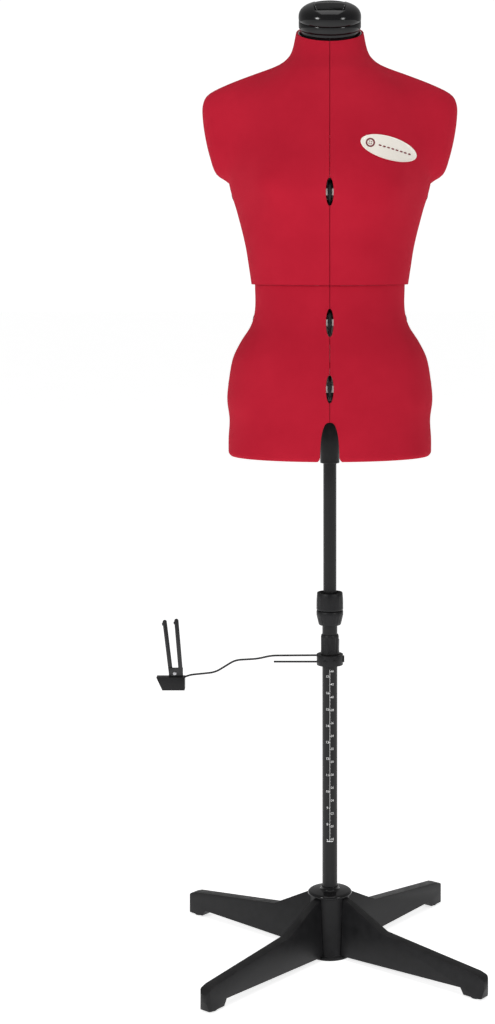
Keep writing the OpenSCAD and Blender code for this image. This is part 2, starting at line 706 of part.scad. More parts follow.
// Round wire along a route in the XZ plane, mitred at each bend
wire_sides = 12;
function wire_way(route, i) =
    unit(route[min(i + 1, len(route) - 1)] - route[i] == [0, 0] ? route[i] - route[i - 1]
         : i == 0 ? route[1] - route[0]
         : unit(route[i + 1] - route[i]) + unit(route[i] - route[i - 1]));
module wire(route) {
    last = len(route) - 1;
    rings = [for (i = [0 : last]) let (way = wire_way(route, i)) for (k = [0 : wire_sides - 1])
        let (a = k * 360 / wire_sides, across = wire_d / 2 * cos(a), deep = wire_d / 2 * sin(a))
        [route[i][0] + way[1] * across, deep, route[i][1] - way[0] * across]];
    function spot(i, k) = i * wire_sides + k % wire_sides;
    faces = concat(
        flat([for (i = [0 : last - 1]) for (k = [0 : wire_sides - 1])
            quad(spot(i, k), spot(i + 1, k), spot(i + 1, k + 1), spot(i, k + 1))]),
        [[for (k = [0 : wire_sides - 1]) spot(0, k)], [for (k = [wire_sides - 1 : -1 : 0]) spot(last, k)]]);
    polyhedron(points = rings, faces = faces);
}
module marker_arm() { color(metal_black) wire(arm_route); }
module release_lever() {
    color(metal_black) union() {
        wire(lever_route);
        translate([-18, 0, 453]) rotate([90, 0, 0]) cylinder(r = 1.4, h = 3, center = true);
    }
}

// Wedge-shaped block at the end of the arm
module marker_block() {
    color(plastic_black) difference() {
        translate([0, 8, 0]) rotate([90, 0, 0])
            linear_extrude(16) polygon([[-269, 430], [-225, 430], [-225, 410], [-259.5, 410]]);
        translate([-228.5, 0, 428]) sphere(d = wire_d + 0.1, $fn = 24);
    }
}

rivet_r = 1.5;
rivet_at = [-240.7, 435];
module on_rivet() { translate([rivet_at[0], 0, rivet_at[1]]) rotate([90, 0, 0]) children(); }

// Blade of the pin fork, from the foot to the hooked head, leaning by its route
module fork_blade(x0, x1, z0, z1, y) {
    lean_angle = atan2(x1 - x0, z1 - z0);
    translate([x0, y, z0]) rotate([0, lean_angle, 0]) {
        translate([-3.3, -1, 0]) cube([6.6, 2, z1 - z0 - 3]);
        translate([0, 1, z1 - z0 - 3]) rotate([90, 0, 0]) cylinder(r = 3.3, h = 2);
        translate([-4.6, -1, z1 - z0 - 8]) cube([3, 2, 4]);
    }
}
// Fixed blade, standing on a foot plate on the block
module fork_fixed() {
    color(metal_black) union() {
        fork_blade(-231, -238.5, 432, 520, -1.2);
        difference() {
            translate([-250, -2.2, 430]) cube([22, 2, 14]);
            on_rivet() cylinder(r = rivet_r + fit, h = 20, center = true);
        }
    }
}
// Blade that opens about the rivet to take the cloth
module fork_gate() {
    color(metal_black) difference() {
        union() {
            fork_blade(-247, -257, 435.5, 518, 1.2);
            translate([-250, 0.2, 434]) cube([10, 2, 5]);
            translate([0, 1.2, 0]) on_rivet() cylinder(r = 4.6, h = 2, center = true);
        }
        on_rivet() cylinder(r = rivet_r + fit, h = 20, center = true);
    }
}
module fork_rivet() {
    color(steel) on_rivet() union() {
        cylinder(r = rivet_r, h = 6.5, center = true);
        translate([0, 0, 2.2]) cylinder(r = 2.8, h = 1.2);
    }
}

hub();
hub_disc();
leg_front_left();
leg_front_right();
leg_back_left();
leg_back_right();
foot_pads();
leg_screws();
lower_tube();
tube_bush();
collet_body();
collet_nut();
upper_tube();
tube_plug();
pole_cap();
pole_socket();
lower_column();
lower_crosshead();
lower_left_carrier();
lower_right_carrier();
lower_front_yoke();
lower_back_yoke();
hip_front_left();
hip_front_right();
hip_back_left();
hip_back_right();
waist_dial_front();
waist_dial_back();
waist_dial_left();
waist_dial_right();
hip_dial_front();
hip_dial_back();
hip_dial_left();
hip_dial_right();
upper_column();
upper_crosshead();
length_knob();
upper_left_carrier();
upper_right_carrier();
upper_front_yoke();
upper_back_yoke();
bust_front_left();
bust_front_right();
bust_back_left();
bust_back_right();
badge();
bust_dial_front();
bust_dial_back();
bust_dial_left();
bust_dial_right();
neck_collar();
neck_cap();
marker_sleeve();
marker_collar();
marker_arm();
release_lever();
marker_block();
fork_fixed();
fork_gate();
fork_rivet();
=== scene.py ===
"""Looks of an adjustable dress form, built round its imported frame.

Sizes are in millimetres, as a pattern maker writes them, and MM turns them into Blender's metres. The form
stands on z = 0 with its pole on the Z axis, its chest faces -Y and its left-hand side in view is -X.
"""

import json
import logging
import math
from collections.abc import Callable, Iterable
from dataclasses import dataclass, field
from enum import Enum

import bmesh
import bpy
from mathutils import Matrix, Vector, noise

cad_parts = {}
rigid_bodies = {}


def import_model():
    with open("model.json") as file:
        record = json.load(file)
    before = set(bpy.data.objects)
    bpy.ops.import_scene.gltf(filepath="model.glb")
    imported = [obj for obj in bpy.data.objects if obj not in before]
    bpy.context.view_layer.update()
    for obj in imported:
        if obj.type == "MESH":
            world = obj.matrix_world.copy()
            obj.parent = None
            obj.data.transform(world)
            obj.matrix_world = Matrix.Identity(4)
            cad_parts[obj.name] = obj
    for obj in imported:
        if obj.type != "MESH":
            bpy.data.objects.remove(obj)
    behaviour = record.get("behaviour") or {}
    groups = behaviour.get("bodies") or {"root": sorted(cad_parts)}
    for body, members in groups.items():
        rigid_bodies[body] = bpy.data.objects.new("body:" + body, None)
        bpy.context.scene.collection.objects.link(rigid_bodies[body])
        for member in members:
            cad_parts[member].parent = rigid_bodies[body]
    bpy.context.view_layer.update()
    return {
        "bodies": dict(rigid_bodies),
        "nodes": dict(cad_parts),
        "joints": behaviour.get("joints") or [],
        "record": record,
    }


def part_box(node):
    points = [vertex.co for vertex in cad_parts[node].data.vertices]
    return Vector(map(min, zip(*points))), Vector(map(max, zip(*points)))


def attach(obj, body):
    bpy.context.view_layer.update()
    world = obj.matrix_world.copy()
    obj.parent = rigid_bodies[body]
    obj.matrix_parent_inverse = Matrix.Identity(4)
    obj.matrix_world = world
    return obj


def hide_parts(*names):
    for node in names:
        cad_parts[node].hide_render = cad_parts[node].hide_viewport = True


MM = 0.001
LOG = logging.getLogger("dress_form")
Colour = tuple[float, float, float]
Socket = bpy.types.NodeSocket


# ---------------------------------------------------------------- node wiring and shared effects


@dataclass
class Wiring:
    """Short calls that add and join the nodes of one tree."""

    tree: bpy.types.NodeTree

    def node(self, kind: str, inputs: dict | None = None, **settings: object) -> bpy.types.Node:
        """Add a node.

        Args:
            kind: The node's type name.
            inputs: Values or sockets for its inputs, by name or index.
            settings: Properties of the node itself.

        Returns:
            The new node.
        """
        made = self.tree.nodes.new(kind)
        for key, value in settings.items():
            setattr(made, key, value)
        for key, value in (inputs or {}).items():
            if isinstance(value, Socket):
                self.tree.links.new(value, made.inputs[key])
            else:
                made.inputs[key].default_value = value
        return made

    def math(self, operation: str, first: Socket | float, second: Socket | float = 0.0,
             clamp: bool = False) -> Socket:
        """Return the result of a Math node on one or two values."""
        return self.node("ShaderNodeMath", {0: first, 1: second}, operation=operation,
                         use_clamp=clamp).outputs[0]

    def vector_math(self, operation: str, first: Socket, second: Socket | Vector) -> bpy.types.Node:
        """Return a Vector Math node on two vectors."""
        return self.node("ShaderNodeVectorMath", {0: first, 1: second}, operation=operation)

    def blend(self, share: Socket | float, first: Socket | tuple, second: Socket | tuple) -> Socket:
        """Return the colour between two colours.

        Args:
            share: How much of the second colour there is, from 0 to 1.
            first: The colour, or its socket, at 0.
            second: The colour, or its socket, at 1.

        Returns:
            The mixed colour's socket.
        """
        mix = self.node("ShaderNodeMix", data_type="RGBA")
        for index, value in ((0, share), (6, first), (7, second)):
            if isinstance(value, Socket):
                self.tree.links.new(value, mix.inputs[index])
            else:
                mix.inputs[index].default_value = value
        return mix.outputs[2]

    def noise(self, where: Socket, scale: Socket | float, detail: float = 3.0, rough: float = 0.5) -> Socket:
        """Return a noise value at a place."""
        return self.node("ShaderNodeTexNoise", {"Vector": where, "Scale": scale, "Detail": detail,
                                                "Roughness": rough}).outputs["Fac"]

    def span(self, value: Socket, low: float, high: float, out_low: float = 0.0,
             out_high: float = 1.0) -> Socket:
        """Return a value moved from one range to another, and held inside it."""
        return self.node("ShaderNodeMapRange", {0: value, 1: low, 2: high, 3: out_low, 4: out_high},
                         clamp=True).outputs[0]


def opaque(colour: Colour) -> tuple[float, float, float, float]:
    """Return a colour with full alpha."""
    return (*colour, 1.0)


class Effects:
    """Node groups that several finishes share, each built once."""

    def __init__(self) -> None:
        """Build every group."""
        self.grain = self._group("moulded_grain", ("Scale", "Coarseness"), ("Height", "Shade"),
                                 self._grain)
        self.wear = self._group("edge_wear", ("Radius", "Reach"), ("Mask",), self._wear, normal_out=True)
        self.dust = self._group("settled_dust", ("Scale", "Amount"), ("Mask",), self._dust)
        self.knit = self._group("jersey_knit", ("Wale", "Course"), ("Height", "Shade"), self._knit,
                                vector_in=True)
        self.mottle = self._group("cloth_mottle", ("Scale", "Fibre"), ("Patch", "Fleck"), self._mottle)
        self.brushed = self._group("drawn_metal", ("Scale", "Stretch"), ("Height",), self._brushed)

    @staticmethod
    def _group(name: str, inputs: Iterable[str], outputs: Iterable[str], fill: Callable[..., None],
               vector_in: bool = False, normal_out: bool = False) -> bpy.types.NodeTree:
        """Make a shader node group and fill it.

        Args:
            name: The group's name.
            inputs: Names of its number inputs.
            outputs: Names of its number outputs.
            fill: Wires the group from its input and output nodes.
            vector_in: Whether it also takes a place.
            normal_out: Whether it also gives a normal.

        Returns:
            The group.
        """
        tree = bpy.data.node_groups.new(name, "ShaderNodeTree")
        for label in inputs:
            tree.interface.new_socket(label, in_out="INPUT", socket_type="NodeSocketFloat")
        if vector_in:
            tree.interface.new_socket("Place", in_out="INPUT", socket_type="NodeSocketVector")
        for label in outputs:
            tree.interface.new_socket(label, in_out="OUTPUT", socket_type="NodeSocketFloat")
        if normal_out:
            tree.interface.new_socket("Normal", in_out="OUTPUT", socket_type="NodeSocketVector")
        wire = Wiring(tree)
        fill(wire, wire.node("NodeGroupInput").outputs, wire.node("NodeGroupOutput").inputs)
        return tree

    @staticmethod
    def _grain(wire: Wiring, given: bpy.types.NodeInputs, result: bpy.types.NodeInputs) -> None:
        """Fine leathery grain of a spark-eroded mould.

        Args:
            wire: The group's wiring.
            given: The sockets of the group's input node.
            result: The sockets of the group's output node.
        """
        place = wire.node("ShaderNodeTexCoord").outputs["Object"]
        fine = wire.noise(place, given["Scale"], 2.0)
        cells = wire.node("ShaderNodeTexVoronoi", {"Vector": place, "Scale": given["Scale"]})
        coarse = wire.noise(place, wire.math("MULTIPLY", given["Scale"], 0.04), 4.0)
        pits = wire.math("MULTIPLY", cells.outputs["Distance"], given["Coarseness"])
        wire.tree.links.new(wire.math("ADD", fine, pits), result["Height"])
        wire.tree.links.new(wire.span(coarse, 0.3, 0.7), result["Shade"])

    @staticmethod
    def _wear(wire: Wiring, given: bpy.types.NodeInputs, result: bpy.types.NodeInputs) -> None:
        """Softened edges, and a mask of where an edge is rubbed.

        Args:
            wire: The group's wiring.
            given: The sockets of the group's input node.
            result: The sockets of the group's output node.
        """
        place = wire.node("ShaderNodeTexCoord").outputs["Object"]
        rounded = wire.node("ShaderNodeBevel", {"Radius": given["Radius"]}, samples=4).outputs[0]
        face = wire.node("ShaderNodeNewGeometry").outputs["Normal"]
        turn = wire.math("SUBTRACT", 1.0, wire.vector_math("DOT_PRODUCT", rounded, face).outputs["Value"])
        patches = wire.span(wire.noise(place, 90.0), 0.4, 0.7)
        rubbed = wire.math("MULTIPLY", wire.span(turn, 0.02, 0.25), patches)
        wire.tree.links.new(wire.math("MULTIPLY", rubbed, given["Reach"], clamp=True), result["Mask"])
        wire.tree.links.new(rounded, result["Normal"])

    @staticmethod
    def _dust(wire: Wiring, given: bpy.types.NodeInputs, result: bpy.types.NodeInputs) -> None:
        """Dust that has settled on what faces up.

        Args:
            wire: The group's wiring.
            given: The sockets of the group's input node.
            result: The sockets of the group's output node.
        """
        place = wire.node("ShaderNodeTexCoord").outputs["Object"]
        face = wire.node("ShaderNodeNewGeometry").outputs["Normal"]
        up = wire.span(wire.node("ShaderNodeSeparateXYZ", {0: face}).outputs["Z"], 0.35, 1.0)
        patches = wire.span(wire.noise(place, given["Scale"], 5.0, 0.65), 0.35, 0.75)
        mask = wire.math("MULTIPLY", wire.math("MULTIPLY", up, patches), given["Amount"], clamp=True)
        wire.tree.links.new(mask, result["Mask"])

    @staticmethod
    def _knit(wire: Wiring, given: bpy.types.NodeInputs, result: bpy.types.NodeInputs) -> None:
        """Rows of V-shaped stitches: wales run up the cloth and courses across it. Shade is low in the
        hollows between the loops, where the cloth paints its shade.

        Args:
            wire: The group's wiring.
            given: The sockets of the group's input node.
            result: The sockets of the group's output node.
        """
        parts = wire.node("ShaderNodeSeparateXYZ", {0: given["Place"]}).outputs
        wale = wire.math("FRACT", wire.math("DIVIDE", parts["X"], given["Wale"]))
        course = wire.math("DIVIDE", parts["Y"], given["Course"])
        slant = wire.math("MULTIPLY", wire.math("ABSOLUTE", wire.math("SUBTRACT", wale, 0.5)), 2.0)
        leg = wire.math("ABSOLUTE", wire.math("SINE", wire.math(
            "MULTIPLY", wire.math("SUBTRACT", course, wire.math("MULTIPLY", slant, 0.9)), math.pi)))
        off = wire.math("SUBTRACT", wire.math("MULTIPLY", slant, 2.0), 1.0)
        yarn = wire.math("SUBTRACT", 1.0, wire.math("MULTIPLY", off, off))
        loop = wire.math("MULTIPLY", yarn, wire.math("ADD", wire.math("MULTIPLY", leg, 0.45), 0.55))
        wire.tree.links.new(loop, result["Height"])
        wire.tree.links.new(wire.span(loop, 0.05, 0.6), result["Shade"])

    @staticmethod
    def _mottle(wire: Wiring, given: bpy.types.NodeInputs, result: bpy.types.NodeInputs) -> None:
        """Slow unevenness of dyed cloth, and the flecks of its fibres.

        Args:
            wire: The group's wiring.
            given: The sockets of the group's input node.
            result: The sockets of the group's output node.
        """
        place = wire.node("ShaderNodeTexCoord").outputs["Object"]
        patch = wire.span(wire.noise(place, given["Scale"], 4.0, 0.6), 0.3, 0.7)
        fleck = wire.span(wire.noise(place, given["Fibre"], 2.0, 0.7), 0.35, 0.65)
        wire.tree.links.new(patch, result["Patch"])
        wire.tree.links.new(fleck, result["Fleck"])

    @staticmethod
    def _brushed(wire: Wiring, given: bpy.types.NodeInputs, result: bpy.types.NodeInputs) -> None:
        """Fine lines along a drawn tube or wire.

        Args:
            wire: The group's wiring.
            given: The sockets of the group's input node.
            result: The sockets of the group's output node.
        """
        place = wire.node("ShaderNodeTexCoord").outputs["Object"]
        squeezed = wire.node("ShaderNodeCombineXYZ", {0: 1.0, 1: 1.0, 2: given["Stretch"]}).outputs[0]
        lines = wire.vector_math("MULTIPLY", place, squeezed).outputs[0]
        wire.tree.links.new(wire.noise(lines, given["Scale"], 3.0), result["Height"])


# ---------------------------------------------------------------- finishes


@dataclass(frozen=True)
class Finish:
    """What every finish has: a name, and a way to make its Blender material."""

    name: str

    def start(self) -> tuple[bpy.types.Material, Wiring, bpy.types.Node]:
        """Start an empty material.

        Returns:
            The material, its wiring and its surface shader.
        """
        material = bpy.data.materials.new(self.name)
        material.use_nodes = True
        wire = Wiring(material.node_tree)
        return material, wire, material.node_tree.nodes["Principled BSDF"]

    def build(self, effects: Effects) -> bpy.types.Material:
        """Return the finish as a material; each finish has its own way."""
        raise NotImplementedError(self.name)


@dataclass(frozen=True)
class Moulded(Finish):
    """Moulded or painted black or pale stock, with grain, rubbed edges and settled dust."""

    colour: Colour
    shade: Colour
    worn: Colour
    roughness: float = 0.45
    spread: float = 0.1
    grain_scale: float = 1800.0
    grain_depth: float = 0.04
    coarseness: float = 0.5
    edge: float = 0.5
    wear: float = 0.5
    dust: float = 0.1
    dust_colour: Colour = (0.32, 0.31, 0.30)
    coat: float = 0.0
    coat_roughness: float = 0.06
    gloss: float = 0.2
    dust_scale: float = 35.0
    dust_roughness: float = 0.4
    relief: float = 0.4

    def build(self, effects: Effects) -> bpy.types.Material:
        """Return the finish as a material.

        Args:
            effects: The shared node groups.

        Returns:
            The material.
        """
        material, wire, shader = self.start()
        grain = wire.node("ShaderNodeGroup", node_tree=effects.grain)
        wear = wire.node("ShaderNodeGroup", node_tree=effects.wear)
        dust = wire.node("ShaderNodeGroup", node_tree=effects.dust)
        for made, name, value in ((grain, "Scale", self.grain_scale), (grain, "Coarseness", self.coarseness),
                                  (wear, "Radius", self.edge * MM), (wear, "Reach", self.wear),
                                  (dust, "Scale", self.dust_scale), (dust, "Amount", self.dust)):
            made.inputs[name].default_value = value
        base = wire.blend(grain.outputs["Shade"], opaque(self.colour), opaque(self.shade))
        rubbed = wire.blend(wear.outputs["Mask"], base, opaque(self.worn))
        dusty = wire.blend(dust.outputs["Mask"], rubbed, opaque(self.dust_colour))
        wire.tree.links.new(dusty, shader.inputs["Base Color"])
        rough = wire.span(grain.outputs["Shade"], 0.0, 1.0, self.roughness - self.spread / 2,
                          self.roughness + self.spread / 2)
        dull = wire.math("MULTIPLY", dust.outputs["Mask"], self.dust_roughness)
        rough = wire.math("ADD", rough, dull, clamp=True)
        wire.tree.links.new(rough, shader.inputs["Roughness"])
        bump = wire.node("ShaderNodeBump", {"Height": grain.outputs["Height"], "Strength": self.grain_depth,
                                            "Distance": self.relief * MM, "Normal": wear.outputs["Normal"]})
        wire.tree.links.new(bump.outputs[0], shader.inputs["Normal"])
        shader.inputs["Coat Weight"].default_value = self.coat
        shader.inputs["Coat Roughness"].default_value = self.coat_roughness
        shader.inputs["Specular IOR Level"].default_value = self.gloss
        return material


@dataclass(frozen=True)
class Metal(Finish):
    """Drawn metal: a plated screw, a black spring wire or a powder-coated tube."""

    colour: Colour
    shade: Colour
    metallic: float
    roughness: float
    scale: float = 900.0
    stretch: float = 0.06
    depth: float = 0.06
    edge: float = 0.3
    wear: float = 0.3
    worn: Colour = (0.30, 0.30, 0.31)
    gloss: float = 0.5
    spread: float = 0.12
    relief: float = 0.2

    def build(self, effects: Effects) -> bpy.types.Material:
        """Return the finish as a material.

        Args:
            effects: The shared node groups.

        Returns:
            The material.
        """
        material, wire, shader = self.start()
        lines = wire.node("ShaderNodeGroup", node_tree=effects.brushed)
        wear = wire.node("ShaderNodeGroup", node_tree=effects.wear)
        for made, name, value in ((lines, "Scale", self.scale), (lines, "Stretch", self.stretch),
                                  (wear, "Radius", self.edge * MM), (wear, "Reach", self.wear)):
            made.inputs[name].default_value = value
        streaks = wire.span(lines.outputs["Height"], 0.3, 0.7)
        base = wire.blend(streaks, opaque(self.colour), opaque(self.shade))
        rubbed = wire.blend(wear.outputs["Mask"], base, opaque(self.worn))
        wire.tree.links.new(rubbed, shader.inputs["Base Color"])
        rough = wire.span(streaks, 0.0, 1.0, self.roughness - self.spread / 2,
                          self.roughness + self.spread / 2)
        wire.tree.links.new(rough, shader.inputs["Roughness"])
        bump = wire.node("ShaderNodeBump", {"Height": lines.outputs["Height"], "Strength": self.depth,
                                            "Distance": self.relief * MM, "Normal": wear.outputs["Normal"]})
        wire.tree.links.new(bump.outputs[0], shader.inputs["Normal"])
        shader.inputs["Metallic"].default_value = self.metallic
        shader.inputs["Specular IOR Level"].default_value = self.gloss
        return material


@dataclass(frozen=True)
class Jersey(Finish):
    """Fine red jersey with a soft nap, over foam, on the cloth's own UV map in millimetres, with painted
    shade in the hollows between its loops.
    """

    light: Colour = (0.49, 0.0135, 0.0335)
    deep: Colour = (0.42, 0.0095, 0.0265)
    # Painted shade: the darker red that the hollows between the knit's loops take.
    gap: Colour = (0.27, 0.006, 0.016)
    wale: float = 1.1
    course: float = 0.8
    patch_scale: float = 9.0
    fibre_scale: float = 1400.0
    fleck_share: float = 0.16
    open_share: float = 0.42
    roughness: tuple[float, float] = (0.78, 0.92)
    nap: float = 0.35
    relief: float = 0.22
    bump: float = 0.5
    sheen: float = 0.14
    sheen_roughness: float = 0.35
    sheen_tint: Colour = (1.0, 0.20, 0.26)
    gloss: float = 0.06

    def build(self, effects: Effects) -> bpy.types.Material:
        """Return the finish as a material.

        Args:
            effects: The shared node groups.

        Returns:
            The material.
        """
        material, wire, shader = self.start()
        where = wire.node("ShaderNodeUVMap", uv_map=CoverPattern.UV_NAME).outputs[0]
        knit = wire.node("ShaderNodeGroup", {"Wale": self.wale, "Course": self.course, "Place": where},
                         node_tree=effects.knit)
        mottle = wire.node("ShaderNodeGroup", {"Scale": self.patch_scale, "Fibre": self.fibre_scale},
                           node_tree=effects.mottle)
        fleck = mottle.outputs["Fleck"]
        dyed = wire.blend(mottle.outputs["Patch"], opaque(self.deep), opaque(self.light))
        flecked = wire.blend(wire.math("MULTIPLY", fleck, self.fleck_share), dyed, opaque(self.light))
        # Painted shade: where the yarn dips between the loops, the colour darkens towards the deeper red.
        between = wire.math("MULTIPLY", wire.math("SUBTRACT", 1.0, knit.outputs["Shade"]), self.open_share)
        wire.tree.links.new(wire.blend(between, flecked, opaque(self.gap)), shader.inputs["Base Color"])
        wire.tree.links.new(wire.span(fleck, 0.0, 1.0, *self.roughness), shader.inputs["Roughness"])
        height = wire.math("ADD", knit.outputs["Height"], wire.math("MULTIPLY", fleck, self.nap))
        bump = wire.node("ShaderNodeBump", {"Height": height, "Strength": self.bump,
                                            "Distance": self.relief * MM})
        wire.tree.links.new(bump.outputs[0], shader.inputs["Normal"])
        shader.inputs["Sheen Weight"].default_value = self.sheen
        shader.inputs["Sheen Roughness"].default_value = self.sheen_roughness
        shader.inputs["Sheen Tint"].default_value = opaque(self.sheen_tint)
        shader.inputs["Specular IOR Level"].default_value = self.gloss
        return material


BLACK = (0.0085, 0.0085, 0.0092)
BASE_PLASTIC = Moulded("satin_black_plastic", BLACK, (0.013, 0.013, 0.014), (0.030, 0.030, 0.032),
                       roughness=0.40, edge=0.8, wear=0.45, dust=0.05, grain_depth=0.10)
CAP_PLASTIC = Moulded("gloss_black_plastic", (0.004, 0.004, 0.0045), (0.006, 0.006, 0.0065),
                      (0.02, 0.02, 0.02), roughness=0.14, spread=0.05, grain_depth=0.01,
                      grain_scale=500.0, edge=0.5, wear=0.15, dust=0.03, coat=0.15, gloss=0.25)
DIAL_PLASTIC = Moulded("dial_black_plastic", (0.006, 0.006, 0.0065), (0.010, 0.010, 0.011),
                       (0.03, 0.03, 0.03), roughness=0.45, edge=0.3, wear=0.35, dust=0.04)
FRAME_PLASTIC = Moulded("filled_black_nylon", (0.02, 0.02, 0.022), (0.035, 0.035, 0.036),
                        (0.08, 0.08, 0.08), roughness=0.6, grain_depth=0.2, coarseness=0.9, edge=0.5,
                        wear=0.3, dust=0.15)
PALE_NYLON = Moulded("pale_nylon", (0.60, 0.535, 0.53), (0.66, 0.60, 0.59), (0.74, 0.70, 0.68),
                     roughness=0.48, gloss=0.4, grain_depth=0.05, edge=0.4, wear=0.5, dust=0.08,
                     dust_colour=(0.40, 0.37, 0.35))
PALE_SHELL = Moulded("pale_shell_plastic", (0.50, 0.46, 0.45), (0.57, 0.52, 0.51), (0.66, 0.61, 0.59),
                     roughness=0.55, grain_depth=0.12, grain_scale=900.0, edge=0.4, wear=0.3, dust=0.1)
PAD_RUBBER = Moulded("pad_rubber", (0.012, 0.012, 0.012), (0.02, 0.02, 0.02), (0.06, 0.06, 0.058),
                     roughness=0.85, spread=0.08, grain_depth=0.25, coarseness=1.0, edge=0.6, wear=0.7,
                     dust=0.1)
BADGE_ENAMEL = Moulded("cream_enamel", (0.82, 0.775, 0.70), (0.86, 0.82, 0.75), (0.90, 0.87, 0.82),
                       roughness=0.3, grain_depth=0.02, grain_scale=400.0, edge=0.3, wear=0.2,
                       dust=0.05, coat=0.5)
BADGE_THREAD = Moulded("muted_red_print", (0.17, 0.03, 0.04), (0.22, 0.04, 0.05), (0.30, 0.08, 0.09),
                       roughness=0.5, grain_scale=5000.0, grain_depth=0.3, edge=0.1, wear=0.2, dust=0.0)
RULE_PRINT = Moulded("white_print", (0.66, 0.66, 0.66), (0.84, 0.84, 0.83), (0.2, 0.2, 0.2),
                     roughness=0.55, grain_scale=1200.0, grain_depth=0.1, edge=0.05, wear=0.0, dust=0.0)
POLE_PAINT = Metal("powder_coat", (0.010, 0.010, 0.0105), (0.014, 0.014, 0.0145), 0.0, 0.36, scale=700.0,
                   stretch=0.9, depth=0.16, wear=0.35, gloss=0.22)
SPRING_WIRE = Metal("black_oxide_wire", (0.022, 0.022, 0.023), (0.035, 0.035, 0.036), 0.55, 0.34, stretch=0.1,
                    wear=0.4)
SCREW_STEEL = Metal("plated_steel", (0.42, 0.42, 0.44), (0.52, 0.52, 0.53), 1.0, 0.32, stretch=0.3,
                    worn=(0.62, 0.62, 0.62))
JERSEY = Jersey("red_jersey")

SLOT_FINISHES: dict[str, Finish] = {
    "base_plastic": BASE_PLASTIC, "rubber": PAD_RUBBER, "screw_steel": SCREW_STEEL,
    "pole_paint": POLE_PAINT, "wire_steel": SPRING_WIRE, "nylon": PALE_NYLON,
    "frame_plastic": FRAME_PLASTIC, "cap_plastic": CAP_PLASTIC, "dial_plastic": DIAL_PLASTIC,
    "red_cloth": JERSEY, "badge": BADGE_ENAMEL,
}


# ---------------------------------------------------------------- the workshop


class Workshop:
    """Makes Blender objects out of finished meshes and fastens them to the frame."""

    def __init__(self, frame: dict) -> None:
        """Read which body carries each node and which slot it is finished from.
        """
        record = frame["record"]
        self.nodes: dict[str, bpy.types.Object] = frame["nodes"]
        self.body_of = {n: b for b, nodes in record["behaviour"]["bodies"].items() for n in nodes}
        self.slot_of = {part["node"]: part["material_slot"] for part in record["subparts"]}
        self.effects = Effects()
        self.materials: dict[str, bpy.types.Material] = {}
        self.replaced: set[str] = set()

    def material(self, finish: Finish) -> bpy.types.Material:
        """Return a finish's material, made once.

        Args:
            finish: The finish.

        Returns:
            Its material.
        """
        if finish.name not in self.materials:
            self.materials[finish.name] = finish.build(self.effects)
        return self.materials[finish.name]

    def piece(self, shape: bmesh.types.BMesh, name: str, finish: Finish, node: str, replace: bool = True,
              sharp: float = 40.0) -> bpy.types.Object:
        """Turn a shape into a piece that rides with a node's body.

        Args:
            shape: The finished shape, in metres and in the row frame; it is used up.
            name: The piece's name.
            finish: Its finish.
            node: The CAD node it stands for or goes with.
            replace: Whether the CAD node is hidden.
            sharp: The angle from which an edge is shaded sharp, in degrees.

        Returns:
            The Blender object.
        """
        mesh = bpy.data.meshes.new(name)
        shape.to_mesh(mesh)
        shape.free()
        mesh.shade_smooth()
        mesh.set_sharp_from_angle(angle=math.radians(sharp))
        mesh.materials.append(self.material(finish))
        made = bpy.data.objects.new(name, mesh)
        bpy.context.scene.collection.objects.link(made)
        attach(made, self.body_of[node])
        if replace:
            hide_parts(node)
            self.replaced.add(node)
        LOG.info("%s: %d faces on %s", name, len(mesh.polygons), self.body_of[node])
        return made

    def dress_frame(self) -> None:
        """Give every CAD node that still shows its finish."""
        for node, made in self.nodes.items():
            if node in self.replaced:
                continue
            material = self.material(SLOT_FINISHES[self.slot_of[node]])
            for held in made.material_slots:
                held.material = material
            LOG.info("%s: kept from the frame", node)


# ---------------------------------------------------------------- shaping tools


def scaled_loop(points: Iterable[tuple[float, float]]) -> list[Vector]:
    """Return profile points (radius, height) in the XZ plane, in metres."""
    return [Vector((r * MM, 0.0, z * MM)) for r, z in points]


def lathe(profile: Iterable[tuple[float, float]], steps: int = 96, closed: bool = False) -> bmesh.types.BMesh:
    """Spin a profile about Z.

    Args:
        profile: Points (radius, height) in millimetres, from one end to the other.
        steps: How many steps make a full turn.
        closed: Whether the profile is a loop, as a tube's is.

    Returns:
        The closed shape.
    """
    shape = bmesh.new()
    verts = [shape.verts.new(p) for p in scaled_loop(profile)]
    pairs = list(zip(verts, verts[1:]))
    if closed:
        pairs.append((verts[-1], verts[0]))
    edges = [shape.edges.new(pair) for pair in pairs]
    bmesh.ops.spin(shape, geom=verts + edges, cent=(0, 0, 0), axis=(0, 0, 1), dvec=(0, 0, 0), angle=math.tau,
                   steps=steps, use_merge=True)
    bmesh.ops.remove_doubles(shape, verts=shape.verts[:], dist=1e-6)
    bmesh.ops.recalc_face_normals(shape, faces=shape.faces[:])
    return shape


def soften(shape: bmesh.types.BMesh, width: float, segments: int = 2,
           angle: float = 30.0) -> bmesh.types.BMesh:
    """Round every edge that is sharper than an angle.

    Args:
        shape: The shape to change.
        width: The width of the rounding in millimetres.
        segments: How many faces the rounding has.
        angle: The least angle of an edge that is rounded, in degrees.

    Returns:
        The same shape.
    """
    sharp = [e for e in shape.edges if e.is_manifold and e.calc_face_angle(0.0) > math.radians(angle)]
    bmesh.ops.bevel(shape, geom=sharp, offset=width * MM, offset_type="OFFSET", segments=segments,
                    profile=0.5, affect="EDGES", material=-1, clamp_overlap=True)
    return shape


def moved(shape: bmesh.types.BMesh, matrix: Matrix) -> bmesh.types.BMesh:
    """Put a shape where a matrix says."""
    bmesh.ops.transform(shape, matrix=matrix, verts=shape.verts[:])
    return shape


def joined(parts: Iterable[bmesh.types.BMesh]) -> bmesh.types.BMesh:
    """Gather several shapes into one.

    Args:
        parts: The shapes; they are used up.

    Returns:
        The shape that holds them all.
    """
    whole = bmesh.new()
    for part in parts:
        mesh = bpy.data.meshes.new("part")
        part.to_mesh(mesh)
        part.free()
        whole.from_mesh(mesh)
        bpy.data.meshes.remove(mesh)
    return whole


